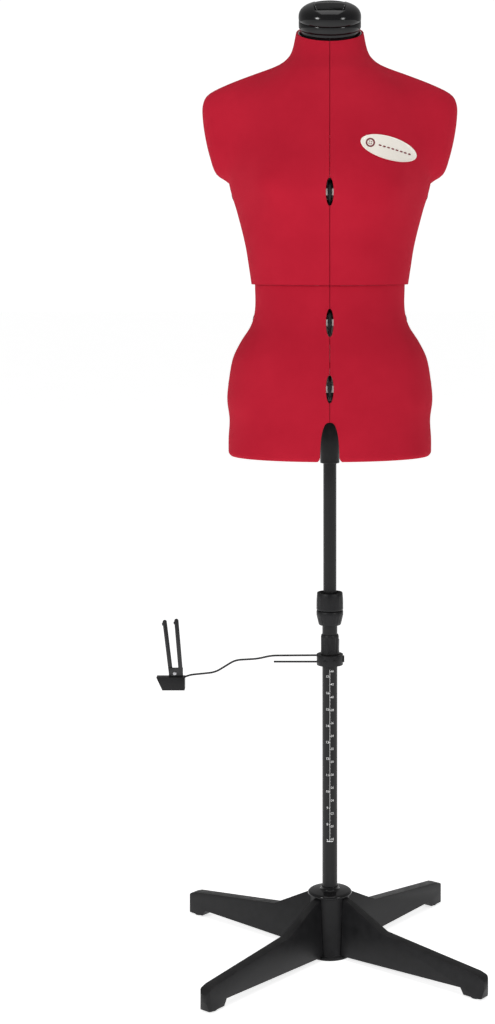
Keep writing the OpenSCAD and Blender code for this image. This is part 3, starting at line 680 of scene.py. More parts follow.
def block(low: tuple[float, float, float], high: tuple[float, float, float],
          edge: float) -> bmesh.types.BMesh:
    """Make a box with rounded edges.

    Args:
        low: Its lowest corner in millimetres.
        high: Its highest corner in millimetres.
        edge: The width of the rounding in millimetres.

    Returns:
        The box.
    """
    shape = bmesh.new()
    bmesh.ops.create_cube(shape, size=1.0)
    size = Vector(high) - Vector(low)
    bmesh.ops.scale(shape, vec=size * MM, verts=shape.verts[:])
    bmesh.ops.translate(shape, vec=(Vector(low) + size / 2) * MM, verts=shape.verts[:])
    return soften(shape, edge)


def scalloped(shape: bmesh.types.BMesh, count: int, depth: float, low: float, high: float,
              beyond: float) -> None:
    """Press a row of shallow flutes into a round shape's flank.

    Args:
        shape: The shape to change.
        count: How many flutes go round.
        depth: How deep they are, in millimetres.
        low: The height above which it is fluted, in millimetres.
        high: The height below which it is fluted, in millimetres.
        beyond: The radius from which a point is on the flank, in millimetres.
    """
    for vert in shape.verts:
        flat, z = math.hypot(vert.co.x, vert.co.y), vert.co.z / MM
        if flat > beyond * MM and low < z < high:
            wave = max(0.0, math.cos(math.atan2(vert.co.y, vert.co.x) * count))
            vert.co.xy *= 1 - depth * MM * wave / flat


def refined(source: bpy.types.Object, edge: float, segments: int = 2,
            angle: float = 30.0) -> bmesh.types.BMesh:
    """Return a copy of a CAD node's mesh, merged, with its flat faces whole and its edges rounded.

    Args:
        source: The CAD node's object.
        edge: The width of the rounding in millimetres.
        segments: How many faces the rounding has.
        angle: The least angle of an edge that is rounded, in degrees.

    Returns:
        The shape.
    """
    shape = bmesh.new()
    shape.from_mesh(source.data)
    bmesh.ops.remove_doubles(shape, verts=shape.verts[:], dist=2e-6)
    bmesh.ops.dissolve_limit(shape, angle_limit=math.radians(1.0), verts=shape.verts[:],
                             edges=shape.edges[:])
    return soften(shape, edge, segments, angle)


def rod_along(route: Iterable[Vector], radius: float, rounded: int = 4) -> bmesh.types.BMesh:
    """Return a round wire along a smooth route.

    Args:
        route: The points of the route, in metres.
        radius: The wire's radius in millimetres.
        rounded: How finely the wire's round section is drawn.

    Returns:
        The shape, with closed ends.
    """
    curve = bpy.data.curves.new("route", "CURVE")
    curve.dimensions = "3D"
    curve.bevel_depth = radius * MM
    curve.bevel_resolution = rounded
    curve.use_fill_caps = True
    spline = curve.splines.new("POLY")
    points = list(route)
    spline.points.add(len(points) - 1)
    for spot, point in zip(spline.points, points):
        spot.co = (*point, 1.0)
    holder = bpy.data.objects.new("route", curve)
    mesh = bpy.data.meshes.new_from_object(holder)
    shape = bmesh.new()
    shape.from_mesh(mesh)
    bpy.data.meshes.remove(mesh)
    bpy.data.curves.remove(curve)
    bmesh.ops.remove_doubles(shape, verts=shape.verts[:], dist=1e-6)
    bmesh.ops.recalc_face_normals(shape, faces=shape.faces[:])
    return shape


def bent_route(corners: list[tuple[float, float]], radius: float, steps: int = 6) -> list[Vector]:
    """Round the corners of a route in the XZ plane.

    Args:
        corners: The route's corners (x, z) in millimetres.
        radius: How far from a corner its bend starts, in millimetres.
        steps: How many pieces each bend has.

    Returns:
        The rounded route, in metres.
    """
    most = 0.45  # the share of a straight that one bend may take
    places = [Vector((x, 0.0, z)) for x, z in corners]
    route = [places[0]]
    for before, corner, after in zip(places, places[1:], places[2:]):
        reach = min(radius, (before - corner).length * most, (after - corner).length * most)
        start = corner + (before - corner).normalized() * reach
        end = corner + (after - corner).normalized() * reach
        for k in range(steps + 1):
            t = k / steps
            route.append(start * (1 - t) ** 2 + corner * 2 * t * (1 - t) + end * t ** 2)
    return [p * MM for p in route + [places[-1]]]


# ---------------------------------------------------------------- the torso's skin


class Half(Enum):
    """The torso's two halves, named as their panels are."""

    LOWER = "hip"
    UPPER = "bust"


class Face(Enum):
    """The torso's front and back, with the angle of their centre seams."""

    FRONT = -90.0
    BACK = 90.0


class Side(Enum):
    """The torso's sides, with the sign of their X."""

    RIGHT = 1
    LEFT = -1


Curve = tuple[tuple[float, float], ...]


def smooth_value(points: Curve, z: float) -> float:
    """Read a smooth curve.

    Args:
        points: The (height, value) points that the curve goes through, from the lowest up.
        z: The height to read it at.

    Returns:
        The value there.
    """
    last = len(points) - 1
    i = next((k for k in range(last - 1) if z < points[k + 1][0]), last - 1)

    def slope(k: int) -> float:
        """Return the curve's slope at one of its points."""
        before, after = points[max(k - 1, 0)], points[min(k + 1, last)]
        return (after[1] - before[1]) / (after[0] - before[0])

    width = points[i + 1][0] - points[i][0]
    t = (z - points[i][0]) / width
    return ((2 * t ** 3 - 3 * t ** 2 + 1) * points[i][1] + (t ** 3 - 2 * t ** 2 + t) * width * slope(i)
            + (3 * t ** 2 - 2 * t ** 3) * points[i + 1][1] + (t ** 3 - t ** 2) * width * slope(i + 1))


@dataclass(frozen=True)
class SoftForm:
    """A soft rise on the skin, mirrored about a centre seam."""

    height: float
    off_centre: float
    rise: float
    tall: float
    broad: float

    def at(self, angle: float, seam: float, z: float) -> float:
        """Return the rise in millimetres at an angle and a height."""
        return (self.rise * math.exp(-((z - self.height) / self.tall) ** 2)
                * math.exp(-((abs(angle - seam) - self.off_centre) / self.broad) ** 2))


@dataclass
class TorsoSkin:
    """The torso's outer skin as the frame has it: half widths and depths at each height, in millimetres."""

    widths: dict[Half, Curve] = field(default_factory=lambda: {
        Half.LOWER: ((773, 157), (800, 157), (830, 155.5), (860, 159), (890, 156.5), (925, 150), (950, 138),
                     (975, 122.5), (1000, 116), (1038, 116)),
        Half.UPPER: ((1040, 121.5), (1060, 124.5), (1100, 131), (1150, 143.5), (1190, 155), (1230, 160),
                     (1270, 158), (1300, 150), (1330, 136), (1350, 117), (1370, 88), (1385, 69), (1400, 59),
                     (1430, 52))})
    fronts: dict[Half, Curve] = field(default_factory=lambda: {
        Half.LOWER: ((773, 100), (830, 104), (880, 105), (930, 101), (960, 95), (1000, 88), (1038, 87)),
        Half.UPPER: ((1040, 92), (1080, 98), (1120, 106), (1160, 115), (1190, 119), (1230, 115), (1280, 102),
                     (1320, 90), (1350, 80), (1380, 65), (1400, 56), (1430, 49))})
    backs: dict[Half, Curve] = field(default_factory=lambda: {
        Half.LOWER: ((773, 106), (830, 116), (870, 119), (910, 113), (950, 96), (985, 84), (1038, 80)),
        Half.UPPER: ((1040, 84), (1080, 88), (1130, 96), (1190, 104), (1240, 109), (1290, 110), (1330, 103),
                     (1360, 88), (1385, 69), (1405, 58), (1430, 51))})
    arm_widths: Curve = ((1196, 118), (1204, 153), (1212, 166), (1232, 176), (1263, 186.5), (1295, 193.5),
                         (1317, 194.5), (1333, 186), (1348, 157), (1364, 115), (1380, 66), (1392, 40))
    arm_depths: Curve = ((1196, 8), (1204, 18), (1214, 30), (1240, 46), (1280, 55), (1310, 54), (1335, 44),
                         (1350, 33), (1370, 20), (1392, 8))
    bust: SoftForm = SoftForm(1192, 36, 20, 48, 19)
    seat: SoftForm = SoftForm(868, 34, 7, 48, 22)
    arm_power: float = 3.0
    blend_power: float = 8.0
    hem: float = 773.0
    hem_round: float = 8.0
    shoulder: float = 1370.0
    neck: float = 1430.0
    neck_tilt: float = 20.0
    neck_half_depth: float = 51.0
    _rows: dict = field(default_factory=dict)

    def _row(self, half: Half, z: float) -> tuple[float, float, float, float, float]:
        """Look up the sizes of one height.

        Args:
            half: The torso's half.
            z: The height.

        Returns:
            The half width, the depths of front and back, and the arm's half width and half depth.
        """
        key = (half, round(z, 4))
        if key not in self._rows:
            armed = half is Half.UPPER and self.arm_widths[0][0] <= z <= self.arm_widths[-1][0]
            self._rows[key] = (smooth_value(self.widths[half], z), smooth_value(self.fronts[half], z),
                               smooth_value(self.backs[half], z),
                               smooth_value(self.arm_widths, z) if armed else 0.0,
                               smooth_value(self.arm_depths, z) if armed else 0.0)
        return self._rows[key]

    def hem_loss(self, z: float) -> float:
        """Return how far the rounded hem draws in at a height."""
        short = max(0.0, self.hem + self.hem_round - z)
        return self.hem_round - math.sqrt(max(0.0, self.hem_round ** 2 - short ** 2))

    def radius(self, half: Half, angle: float, z: float) -> float:
        """Find how far the skin is from the pole.

        Args:
            half: The torso's half.
            angle: The direction in degrees, from +X towards +Y.
            z: The height.

        Returns:
            The distance in millimetres.
        """
        width, front, back, arm_width, arm_depth = self._row(half, z)
        c, s = math.cos(math.radians(angle)), math.sin(math.radians(angle))
        body = 1 / math.hypot(c / width, s / (front if angle < 0 else back))
        if half is Half.LOWER:
            body += (self.seat.at(angle, Face.BACK.value, z) if angle >= 0 else 0.0) - self.hem_loss(z)
        elif angle < 0:
            body += self.bust.at(angle, Face.FRONT.value, z)
        if not arm_width:
            return body
        p = self.arm_power
        arm = 1 / ((abs(c) / arm_width) ** p + (abs(s) / arm_depth) ** p) ** (1 / p)
        return (body ** self.blend_power + arm ** self.blend_power) ** (1 / self.blend_power)

    def point(self, half: Half, angle: float, z: float) -> Vector:
        """Find a point of the skin, with the neck's forward lean.

        Args:
            half: The torso's half.
            angle: The direction in degrees, from +X towards +Y.
            z: The height before the lean.

        Returns:
            The point in millimetres.
        """
        r = self.radius(half, angle, z)
        turn = math.radians(angle)
        lean = 0.0
        if half is Half.UPPER and z > self.shoulder:
            share = (z - self.shoulder) / (self.neck - self.shoulder)
            lean = math.tan(math.radians(self.neck_tilt)) * self.neck_half_depth * math.sin(turn) * share
        return Vector((r * math.cos(turn), r * math.sin(turn), z + lean))

    def normal(self, half: Half, angle: float, z: float) -> Vector:
        """Find which way the skin faces.

        Args:
            half: The torso's half.
            angle: The direction in degrees, from +X towards +Y.
            z: The height.

        Returns:
            The outward direction, one long.
        """
        across = self.point(half, angle + 1, z) - self.point(half, angle - 1, z)
        up = self.point(half, angle, z + 1) - self.point(half, angle, z - 1)
        return across.cross(up).normalized()

    def angle_at(self, half: Half, face: Face, x: float, z: float, halvings: int = 24) -> float:
        """Find the direction in which one face of the skin is a given way from the middle.

        Args:
            half: The torso's half.
            face: Front or back.
            x: The distance from the middle in millimetres.
            z: The height.
            halvings: How many times the search halves the quarter turn.

        Returns:
            The angle in degrees, below 0 in front.
        """
        sign = math.copysign(1.0, face.value)
        low, high = 0.0, abs(face.value)
        for _ in range(halvings):
            middle = (low + high) / 2
            if self.radius(half, sign * middle, z) * math.cos(math.radians(middle)) > x:
                low = middle
            else:
                high = middle
        return sign * middle


@dataclass(frozen=True)
class DialSpot:
    """Where a level's wheels sit: the word in their names, their half and their height in millimetres."""

    word: str
    half: Half
    z: float


@dataclass(frozen=True)
class Cut:
    """How one layer of a panel is trimmed, in millimetres."""

    seam_gap: float
    eye_width: float
    lower_top: float
    upper_bottom: float


@dataclass
class CoverPattern:
    """How a panel is cut: its edges, openings and rows, in millimetres."""

    UV_NAME = "cloth"
    CLOTH = Cut(seam_gap=0.25, eye_width=11.0, lower_top=1038.9, upper_bottom=1039.2)
    SHELL = Cut(seam_gap=0.4, eye_width=13.0, lower_top=1038.0, upper_bottom=1040.0)

    skin: TorsoSkin
    dials: tuple[DialSpot, ...]
    eye_height: float = 42.0
    arch_top: float = 834.0
    arch_half: float = 14.3
    arch_power: float = 2.6
    arch_flare: float = 0.7
    edge_round: float = 1.2
    waist_square: float = 0.8
    edge_steps: tuple[float, ...] = (0.0, 0.1, 0.28, 0.55, 0.85, 1.2)
    row_step: float = 4.5
    least_step: float = 0.05
    opening_rows: int = 18
    hem_rows: int = 8

    def ends(self, half: Half, cut: Cut) -> tuple[float, float]:
        """Return the lowest and highest height of a half."""
        return (self.skin.hem, cut.lower_top) if half is Half.LOWER else (cut.upper_bottom, self.skin.neck)

    def level(self, half: Half, cut: Cut, z: float) -> float:
        """Measure how far a height is from the nearer end, counting the waist edge as nearly square.

        Args:
            half: The torso's half.
            cut: The layer's trim.
            z: The height.

        Returns:
            The distance.
        """
        low, high = self.ends(half, cut)
        up, down = z - low, high - z
        return min(up, down + self.waist_square) if half is Half.LOWER else min(up + self.waist_square, down)

    def eye_half(self, half: Half, cut: Cut, z: float) -> float:
        """Measure the wheels' openings at a height.

        Args:
            half: The torso's half.
            cut: The layer's trim.
            z: The height.

        Returns:
            Half their width.
        """
        reach = self.eye_height / 2
        return max((cut.eye_width / 2 * math.sqrt(max(0.0, 1 - ((z - d.z) / reach) ** 2))
                    for d in self.dials if d.half is half), default=0.0)

    def centre_half(self, half: Half, cut: Cut, z: float) -> float:
        """Measure the opening along a centre seam at a height, with the arch at the hem.

        Args:
            half: The torso's half.
            cut: The layer's trim.
            z: The height.

        Returns:
            Half its width.
        """
        arch = 0.0
        if half is Half.LOWER and z < self.arch_top:
            share = (z - self.skin.hem) / (self.arch_top - self.skin.hem)
            arch = self.arch_half * (1 - share ** self.arch_power) ** (1 / self.arch_power)
            arch += self.arch_flare * self.skin.hem_loss(z)
        return max(self.eye_half(half, cut, z), arch)

    def rows(self, half: Half, cut: Cut) -> list[float]:
        """List the heights of the rows: close at the edges and at the ends of each opening.

        Args:
            half: The torso's half.
            cut: The layer's trim.

        Returns:
            The heights, from the lowest up.
        """
        low, high = self.ends(half, cut)
        spots = {low + d for d in self.edge_steps} | {high - d for d in self.edge_steps}
        turns = self.opening_rows
        for dial in (d for d in self.dials if d.half is half):
            spots |= {dial.z + self.eye_height / 2 * math.cos(math.pi * k / turns) for k in range(turns + 1)}
        if half is Half.LOWER:
            tall = self.arch_top - low
            spots |= {low + tall * math.sin(math.pi / 2 * k / turns) for k in range(1, turns + 1)}
            spots |= {low + self.skin.hem_round * k / self.hem_rows for k in range(1, self.hem_rows + 1)}
        kept: list[float] = []
        for z in sorted(spots):
            if not kept or z - kept[-1] > self.least_step:
                kept.append(z)
        filled = []
        for a, b in zip(kept, kept[1:]):
            pieces = max(1, round((b - a) / self.row_step))
            filled += [a + (b - a) * k / pieces for k in range(pieces)]
        return filled + [kept[-1]]

    def columns(self, half: Half, face: Face, cut: Cut, z: float, count: int) -> list[tuple[float, float]]:
        """Return the columns of a row.

        Args:
            half: The torso's half.
            face: Front or back.
            cut: The layer's trim.
            z: The row's height.
            count: How many columns lie between the two rounded edges.

        Returns:
            The angle of each column and its distance from the nearer edge, from the centre seam outwards.
        """
        sign = 1 if face is Face.FRONT else -1
        centre_r, side_r = self.skin.radius(half, face.value, z), self.skin.radius(half, -sign * 1e-6, z)
        opening = math.degrees(math.asin(self.centre_half(half, cut, z) / centre_r))
        side_opening = math.degrees(math.asin(self.eye_half(half, cut, z) / side_r))
        inner, outer = face.value + sign * opening, -sign * side_opening
        start = [(inner + sign * math.degrees(d / centre_r), d) for d in self.edge_steps]
        end = [(outer - sign * math.degrees(d / side_r), d) for d in reversed(self.edge_steps)]
        a, b = start[-1][0], end[0][0]
        middle = [(a + (b - a) * k / count, self.edge_round) for k in range(1, count)]
        return start + middle + end


@dataclass
class TorsoPanel:
    """One of the torso's eight panels: a moulded shell with a foam-backed jersey cover bonded to it."""

    pattern: CoverPattern
    half: Half
    face: Face
    side: Side
    GUIDE_Z = {Half.LOWER: 935.0, Half.UPPER: 1240.0}

    cover_depth: float = 3.0
    glue: float = 0.1
    wall: float = 5.0
    columns: int = 40
    swell: float = 0.35
    swell_scale: float = 0.02
    turned_in: float = 1.12

    @property
    def node(self) -> str:
        """The name of the panel's CAD node."""
        return f"{self.half.value}_{self.face.name.lower()}_{self.side.name.lower()}"

    def _shaped(self, depths: Callable[[float, float], tuple[float, float]], cut: Cut,
                swell: float = 0.0) -> bmesh.types.BMesh:
        """Wrap a grid round the torso and give it its thickness.

        Args:
            depths: For a place's distances from the seams and from the ends, its outer and inner depth.
            cut: The layer's trim.
            swell: The unevenness of the outer face.

        Returns:
            A closed shape with a UV map in millimetres.
        """
        pattern, skin = self.pattern, self.pattern.skin
        rows = pattern.rows(self.half, cut)
        grid = [pattern.columns(self.half, self.face, cut, z, self.columns) for z in rows]
        across = len(grid[0]) - 1
        shape = bmesh.new()
        column = shape.verts.layers.float.new("column")
        row = shape.verts.layers.float.new("row")
        bmesh.ops.create_grid(shape, x_segments=across, y_segments=len(rows) - 1, size=1.0)
        for vert in shape.verts:
            vert[column] = round((vert.co.x + 1) / 2 * across)
            vert[row] = round((vert.co.y + 1) / 2 * (len(rows) - 1))
        inner = set(shape.verts)
        bmesh.ops.extrude_face_region(shape, geom=shape.faces[:], use_keep_orig=True)
        shape.normal_update()
        lengths: dict[tuple[int, int], float] = {}
        shift = Vector((cut.seam_gap, math.copysign(cut.seam_gap, self.face.value), 0))
        for vert in shape.verts:
            i, j = int(vert[row]), int(vert[column])
            z = rows[i]
            angle, from_edge = grid[i][j]
            outer_depth, inner_depth = depths(from_edge, pattern.level(self.half, cut, z))
            place, out = skin.point(self.half, angle, z), skin.normal(self.half, angle, z)
            if vert not in inner and swell and outer_depth <= 0:
                outer_depth += swell * (0.5 + 0.5 * noise.noise(place * self.swell_scale))
            depth = inner_depth if vert in inner else outer_depth
            vert.co = (place - out * depth + shift) * MM
            vert.co.x *= self.side.value
            lengths[i, j] = math.radians(abs(angle - self.face.value)) * skin.radius(self.half, angle, z)
        bmesh.ops.recalc_face_normals(shape, faces=shape.faces[:])
        cloth = shape.loops.layers.uv.new(CoverPattern.UV_NAME)
        for face in shape.faces:
            for loop in face.loops:
                i, j = int(loop.vert[row]), int(loop.vert[column])
                loop[cloth].uv = (lengths[i, j], rows[i])
        return shape

    def cover(self) -> bmesh.types.BMesh:
        """Shape the jersey cover, which turns over the panel's edges.

        Returns:
            The cover.
        """
        r = self.pattern.edge_round

        def depths(from_edge: float, level: float) -> tuple[float, float]:
            """Return the cover's two depths, the outer one rounded at an edge."""
            short = math.hypot(max(0.0, r - from_edge), max(0.0, r - level))
            return r - math.sqrt(max(0.0, r ** 2 - min(short, r) ** 2)), self.cover_depth

        return self._shaped(depths, CoverPattern.CLOTH, swell=self.swell)

    def shell(self) -> bmesh.types.BMesh:
        """Shape the moulded shell with its nut blocks and its guide sleeve.

        Returns:
            The shell.
        """
        depths = (self.cover_depth + self.glue, self.wall)
        parts = [self._shaped(lambda from_edge, level: depths, CoverPattern.SHELL)]
        for dial in (d for d in self.pattern.dials if d.half is self.half):
            for angle, turn in ((self.face.value, 1), (0.0, -1)):
                sign = turn if self.face is Face.FRONT else -turn
                parts.append(self._nut_block(dial, angle, sign))
        parts.append(self._guide())
        return joined(parts)

    def _nut_block(self, dial: DialSpot, angle: float, sign: int, start: float = 3.1, end: float = 17.0,
                   half: float = 5.0, bore: float = 3.8, inset: float = 18.5, sides: int = 24,
                   bite: float = 0.5) -> bmesh.types.BMesh:
        """Shape the block beside a wheel that its screw is threaded through.

        Args:
            dial: The wheel.
            angle: The angle of the seam it works across.
            sign: On which side of the wheel the block sits, along the wheel's axle.
            start: Where the block starts along the axle.
            end: Where it ends.
            half: Half of its height.
            bore: The radius of its hole.
            inset: The depth of the wheel's axle under the skin.
            sides: How many sides its hole has.
            bite: How far it sinks into the wall, and the width of its rounded edges.

        Returns:
            The block, in the row frame.
        """
        shape = bmesh.new()
        outward = (inset - self.wall / 2 - bite) / half
        hole = bmesh.ops.create_circle(shape, segments=sides, radius=bore)["verts"]
        rim = bmesh.ops.create_circle(shape, segments=sides, radius=half)["verts"]
        for vert in rim:
            square = half / max(abs(vert.co.x), abs(vert.co.y))
            vert.co *= square
            vert.co.x *= outward if vert.co.x > 0 else 1.0
        edges = {e for v in hole + rim for e in v.link_edges}
        bmesh.ops.bridge_loops(shape, edges=list(edges))
        grown = bmesh.ops.extrude_face_region(shape, geom=shape.faces[:], use_keep_orig=True)["geom"]
        far = [v for v in grown if isinstance(v, bmesh.types.BMVert)]
        bmesh.ops.translate(shape, vec=(0, 0, end - start), verts=far)
        bmesh.ops.translate(shape, vec=(0, 0, start), verts=shape.verts[:])
        bmesh.ops.recalc_face_normals(shape, faces=shape.faces[:])
        bmesh.ops.scale(shape, vec=(MM, MM, MM), verts=shape.verts[:])
        soften(shape, bite, angle=50)
        reach = (self.pattern.skin.radius(self.half, angle, dial.z) - inset) * MM
        matrix = (Matrix.Rotation(math.radians(angle), 4, "Z")
                  @ Matrix.Translation((reach, 0, dial.z * MM))
                  @ Matrix.Rotation(math.radians(-90 * sign), 4, "X"))
        moved(shape, matrix)
        if self.side is Side.LEFT:
            bmesh.ops.scale(shape, vec=(-1, 1, 1), verts=shape.verts[:])
            bmesh.ops.recalc_face_normals(shape, faces=shape.faces[:])
        return shape

    def _guide(self, x: float = 70.0, start: float = 47.0, radius: float = 7.0, bore: float = 4.4,
               edge: float = 0.6, bite: float = 0.5) -> bmesh.types.BMesh:
        """Shape the sleeve that slides on the carrier's rod.

        Args:
            x: The rod's distance from the middle.
            start: How far in front of or behind the pole the sleeve starts.
            radius: The sleeve's outer radius.
            bore: The radius of its hole.
            edge: The bevel at its open end.
            bite: How far it sinks into the wall.

        Returns:
            The sleeve, in the row frame.
        """
        z = self.GUIDE_Z[self.half]
        skin = self.pattern.skin
        angle = skin.angle_at(self.half, self.face, x, z)
        y = abs(skin.point(self.half, angle, z).y) - self.wall + bite
        shape = lathe([(bore, start), (radius - edge, start), (radius, start + edge), (radius, y), (bore, y)],
                      steps=32, closed=True)
        turn = 90 if self.face is Face.FRONT else -90
        matrix = (Matrix.Translation((x * self.side.value * MM, 0, z * MM))
                  @ Matrix.Rotation(math.radians(turn), 4, "X"))
        return moved(shape, matrix)

    def flat_size(self, every: int = 4, spans: int = 12) -> tuple[float, float]:
        """Measure the cloth that the cover is cut from.

        Args:
            every: How many rows apart the skin is measured.
            spans: How many straight pieces a row is measured in.

        Returns:
            The cloth's width and length in metres.
        """
        low, high = self.pattern.ends(self.half, CoverPattern.CLOTH)
        skin = self.pattern.skin
        width = 0.0
        for z in self.pattern.rows(self.half, CoverPattern.CLOTH)[::every]:
            angles = [self.face.value * k / spans for k in range(spans + 1)]
            spots = [skin.point(self.half, a, z) for a in angles]
            width = max(width, sum((b - a).length for a, b in zip(spots, spots[1:])))
        return width * MM, (high - low) * self.turned_in * MM

    def build(self, shop: Workshop) -> None:
        """Make the cover and the shell and fasten both to the panel's body.

        Args:
            shop: The workshop that turns shapes into pieces.
        """
        cover = shop.piece(self.cover(), f"{self.node}_cover", JERSEY, self.node, sharp=60.0)
        width, length = self.flat_size()
        shell = shop.piece(self.shell(), f"{self.node}_shell", PALE_SHELL, self.node)


@dataclass
class Badge:
    """Plain oval badge on the breast: an enamel plate with a raised rim, a printed button and stitches."""

    skin: TorsoSkin
    seam_gap: float
    x: float = 88.2
    z: float = 1245.0
    half_width: float = 43.8
    half_height: float = 17.6
    turn: float = -15.5
    lift: float = 1.3
    stitches: int = 8
    stitch_start: float = -14.0
    stitch_step: float = 6.6
    stitch_size: tuple[float, float, float] = (2.4, 1.2, 0.35)
    button_x: float = -29.0
    hole_size: tuple[float, float, float] = (0.9, 0.9, 0.35)
    hole_reach: float = 1.6
    print_depth: float = 0.32

    def _on_skin(self, shape: bmesh.types.BMesh) -> bmesh.types.BMesh:
        """Lay a flat shape on the breast.

        Args:
            shape: The shape, drawn in millimetres with its height as Z.

        Returns:
            The same shape, in metres and in the row frame.
        """
        turn = math.radians(self.turn)
        for vert in shape.verts:
            across, up, height = vert.co
            x = self.x + across * math.cos(turn) - up * math.sin(turn)
            z = self.z + across * math.sin(turn) + up * math.cos(turn)
            angle = self.skin.angle_at(Half.UPPER, Face.FRONT, x, z)
            out = self.skin.normal(Half.UPPER, angle, z)
            place = self.skin.point(Half.UPPER, angle, z) + out * height
            vert.co = (place + Vector((self.seam_gap, -self.seam_gap, 0))) * MM
        bmesh.ops.recalc_face_normals(shape, faces=shape.faces[:])
        return shape

    def build(self, shop: Workshop) -> None:
        """Make the plate and its stitches.

        Args:
            shop: The workshop that turns shapes into pieces.
        """
        top = self.lift
        profile = [(0, top - 0.35), (0.4, top - 0.36), (0.8, top - 0.42), (0.93, top - 0.5),
                   (0.945, top - 0.2), (0.965, top - 0.05), (0.985, top - 0.05), (0.997, top - 0.25),
                   (1, top - 0.6), (1, -0.2), (0.7, -0.3), (0, -0.3)]
        plate_shape = lathe(profile, steps=96)
        for vert in plate_shape.verts:
            vert.co = Vector((vert.co.x * self.half_width, vert.co.y * self.half_height, vert.co.z)) / MM
        shop.piece(self._on_skin(plate_shape), "badge_plate", BADGE_ENAMEL, "badge")
        ring = lathe([(4.6, 0), (5.0, 0.3), (6.6, 0.3), (7.0, 0)], steps=32, closed=True)
        bmesh.ops.scale(ring, vec=(1 / MM, 1 / MM, 1 / MM), verts=ring.verts[:])
        level, reach = top - self.print_depth, self.hole_reach
        marks = [moved(ring, Matrix.Translation((self.button_x, 0, level)))]
        for x, y in ((-reach, -reach), (reach, -reach), (-reach, reach), (reach, reach)):
            marks.append(self._dot(self.button_x + x, y, self.hole_size, level))
        for k in range(self.stitches):
            marks.append(self._dot(self.stitch_start + k * self.stitch_step, 0, self.stitch_size, level))
        shop.piece(self._on_skin(joined(marks)), "badge_stitches", BADGE_THREAD, "badge", replace=False)

    @staticmethod
    def _dot(x: float, y: float, size: tuple[float, float, float], z: float) -> bmesh.types.BMesh:
        """Shape one raised dot of the print, in millimetres.

        Args:
            x: Its place across the badge.
            y: Its place up the badge.
            size: Its half sizes.
            z: Its height over the skin.

        Returns:
            The dot.
        """
        shape = bmesh.new()
        bmesh.ops.create_uvsphere(shape, u_segments=12, v_segments=8, radius=1.0)
        bmesh.ops.scale(shape, vec=size, verts=shape.verts[:])
        bmesh.ops.translate(shape, vec=(x, y, z), verts=shape.verts[:])
        return shape


# ---------------------------------------------------------------- dials


@dataclass
class ThumbWheel:
    """A knurled thumb wheel on its two-handed screw."""

    node: str
    radius: float = 19.0
    width: float = 4.6
    grips: int = 40
    grip_depth: float = 0.7
    screw_radius: float = 3.0
    screw_half: float = 27.0
    pitch: float = 1.5
    thread_depth: float = 0.55
    rounding: float = 0.9
    hub_radius: float = 7.0
    hub_share: float = 0.55

    def build(self, shop: Workshop) -> None:
        """Turn the wheel and its screw, knurl the rim and put it on its axle.

        Args:
            shop: The workshop that turns shapes into pieces.
        """
        w, r = self.width / 2, self.radius
        rim = [(self.hub_radius, w * self.hub_share), (9, w), (r - 3.5, w), (r - 3, w - 0.3), (r - 2.4, w),
               (r - self.rounding, w), (r, w - self.rounding)]
        profile = [(0, self.screw_half)] + self._thread() + rim
        profile += [(a, -b) for a, b in reversed(rim)] + [(a, -b) for a, b in reversed(self._thread())]
        profile += [(0, -self.screw_half)]
        shape = lathe(profile, steps=self.grips * 3)
        for vert in shape.verts:
            flat = math.hypot(vert.co.x, vert.co.y)
            if flat > (r - self.rounding - 0.1) * MM:
                wave = math.cos(math.atan2(vert.co.y, vert.co.x) * self.grips)
                vert.co.xy *= 1 - self.grip_depth * MM * (0.5 + 0.5 * wave) / flat
        low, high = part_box(self.node)
        centre = (low + high) / 2
        along_x = high.x - low.x > high.y - low.y
        turn = Matrix.Rotation(math.radians(90), 4, "Y" if along_x else "X")
        shop.piece(moved(shape, Matrix.Translation(centre) @ turn), f"{self.node}_wheel", DIAL_PLASTIC,
                   self.node, sharp=50.0)

    def _thread(self) -> list[tuple[float, float]]:
        """Draw the threaded part of the profile, from its end to the wheel.

        Returns:
            The points (radius, place along the axle).
        """
        count = int((self.screw_half - 4) / self.pitch)
        points = []
        for k in range(count):
            z = self.screw_half - 0.8 - k * self.pitch
            points += [(self.screw_radius - self.thread_depth, z), (self.screw_radius, z - self.pitch / 2)]
        return points + [(self.screw_radius, self.width / 2 * self.hub_share + 0.6)]


# ---------------------------------------------------------------- neck


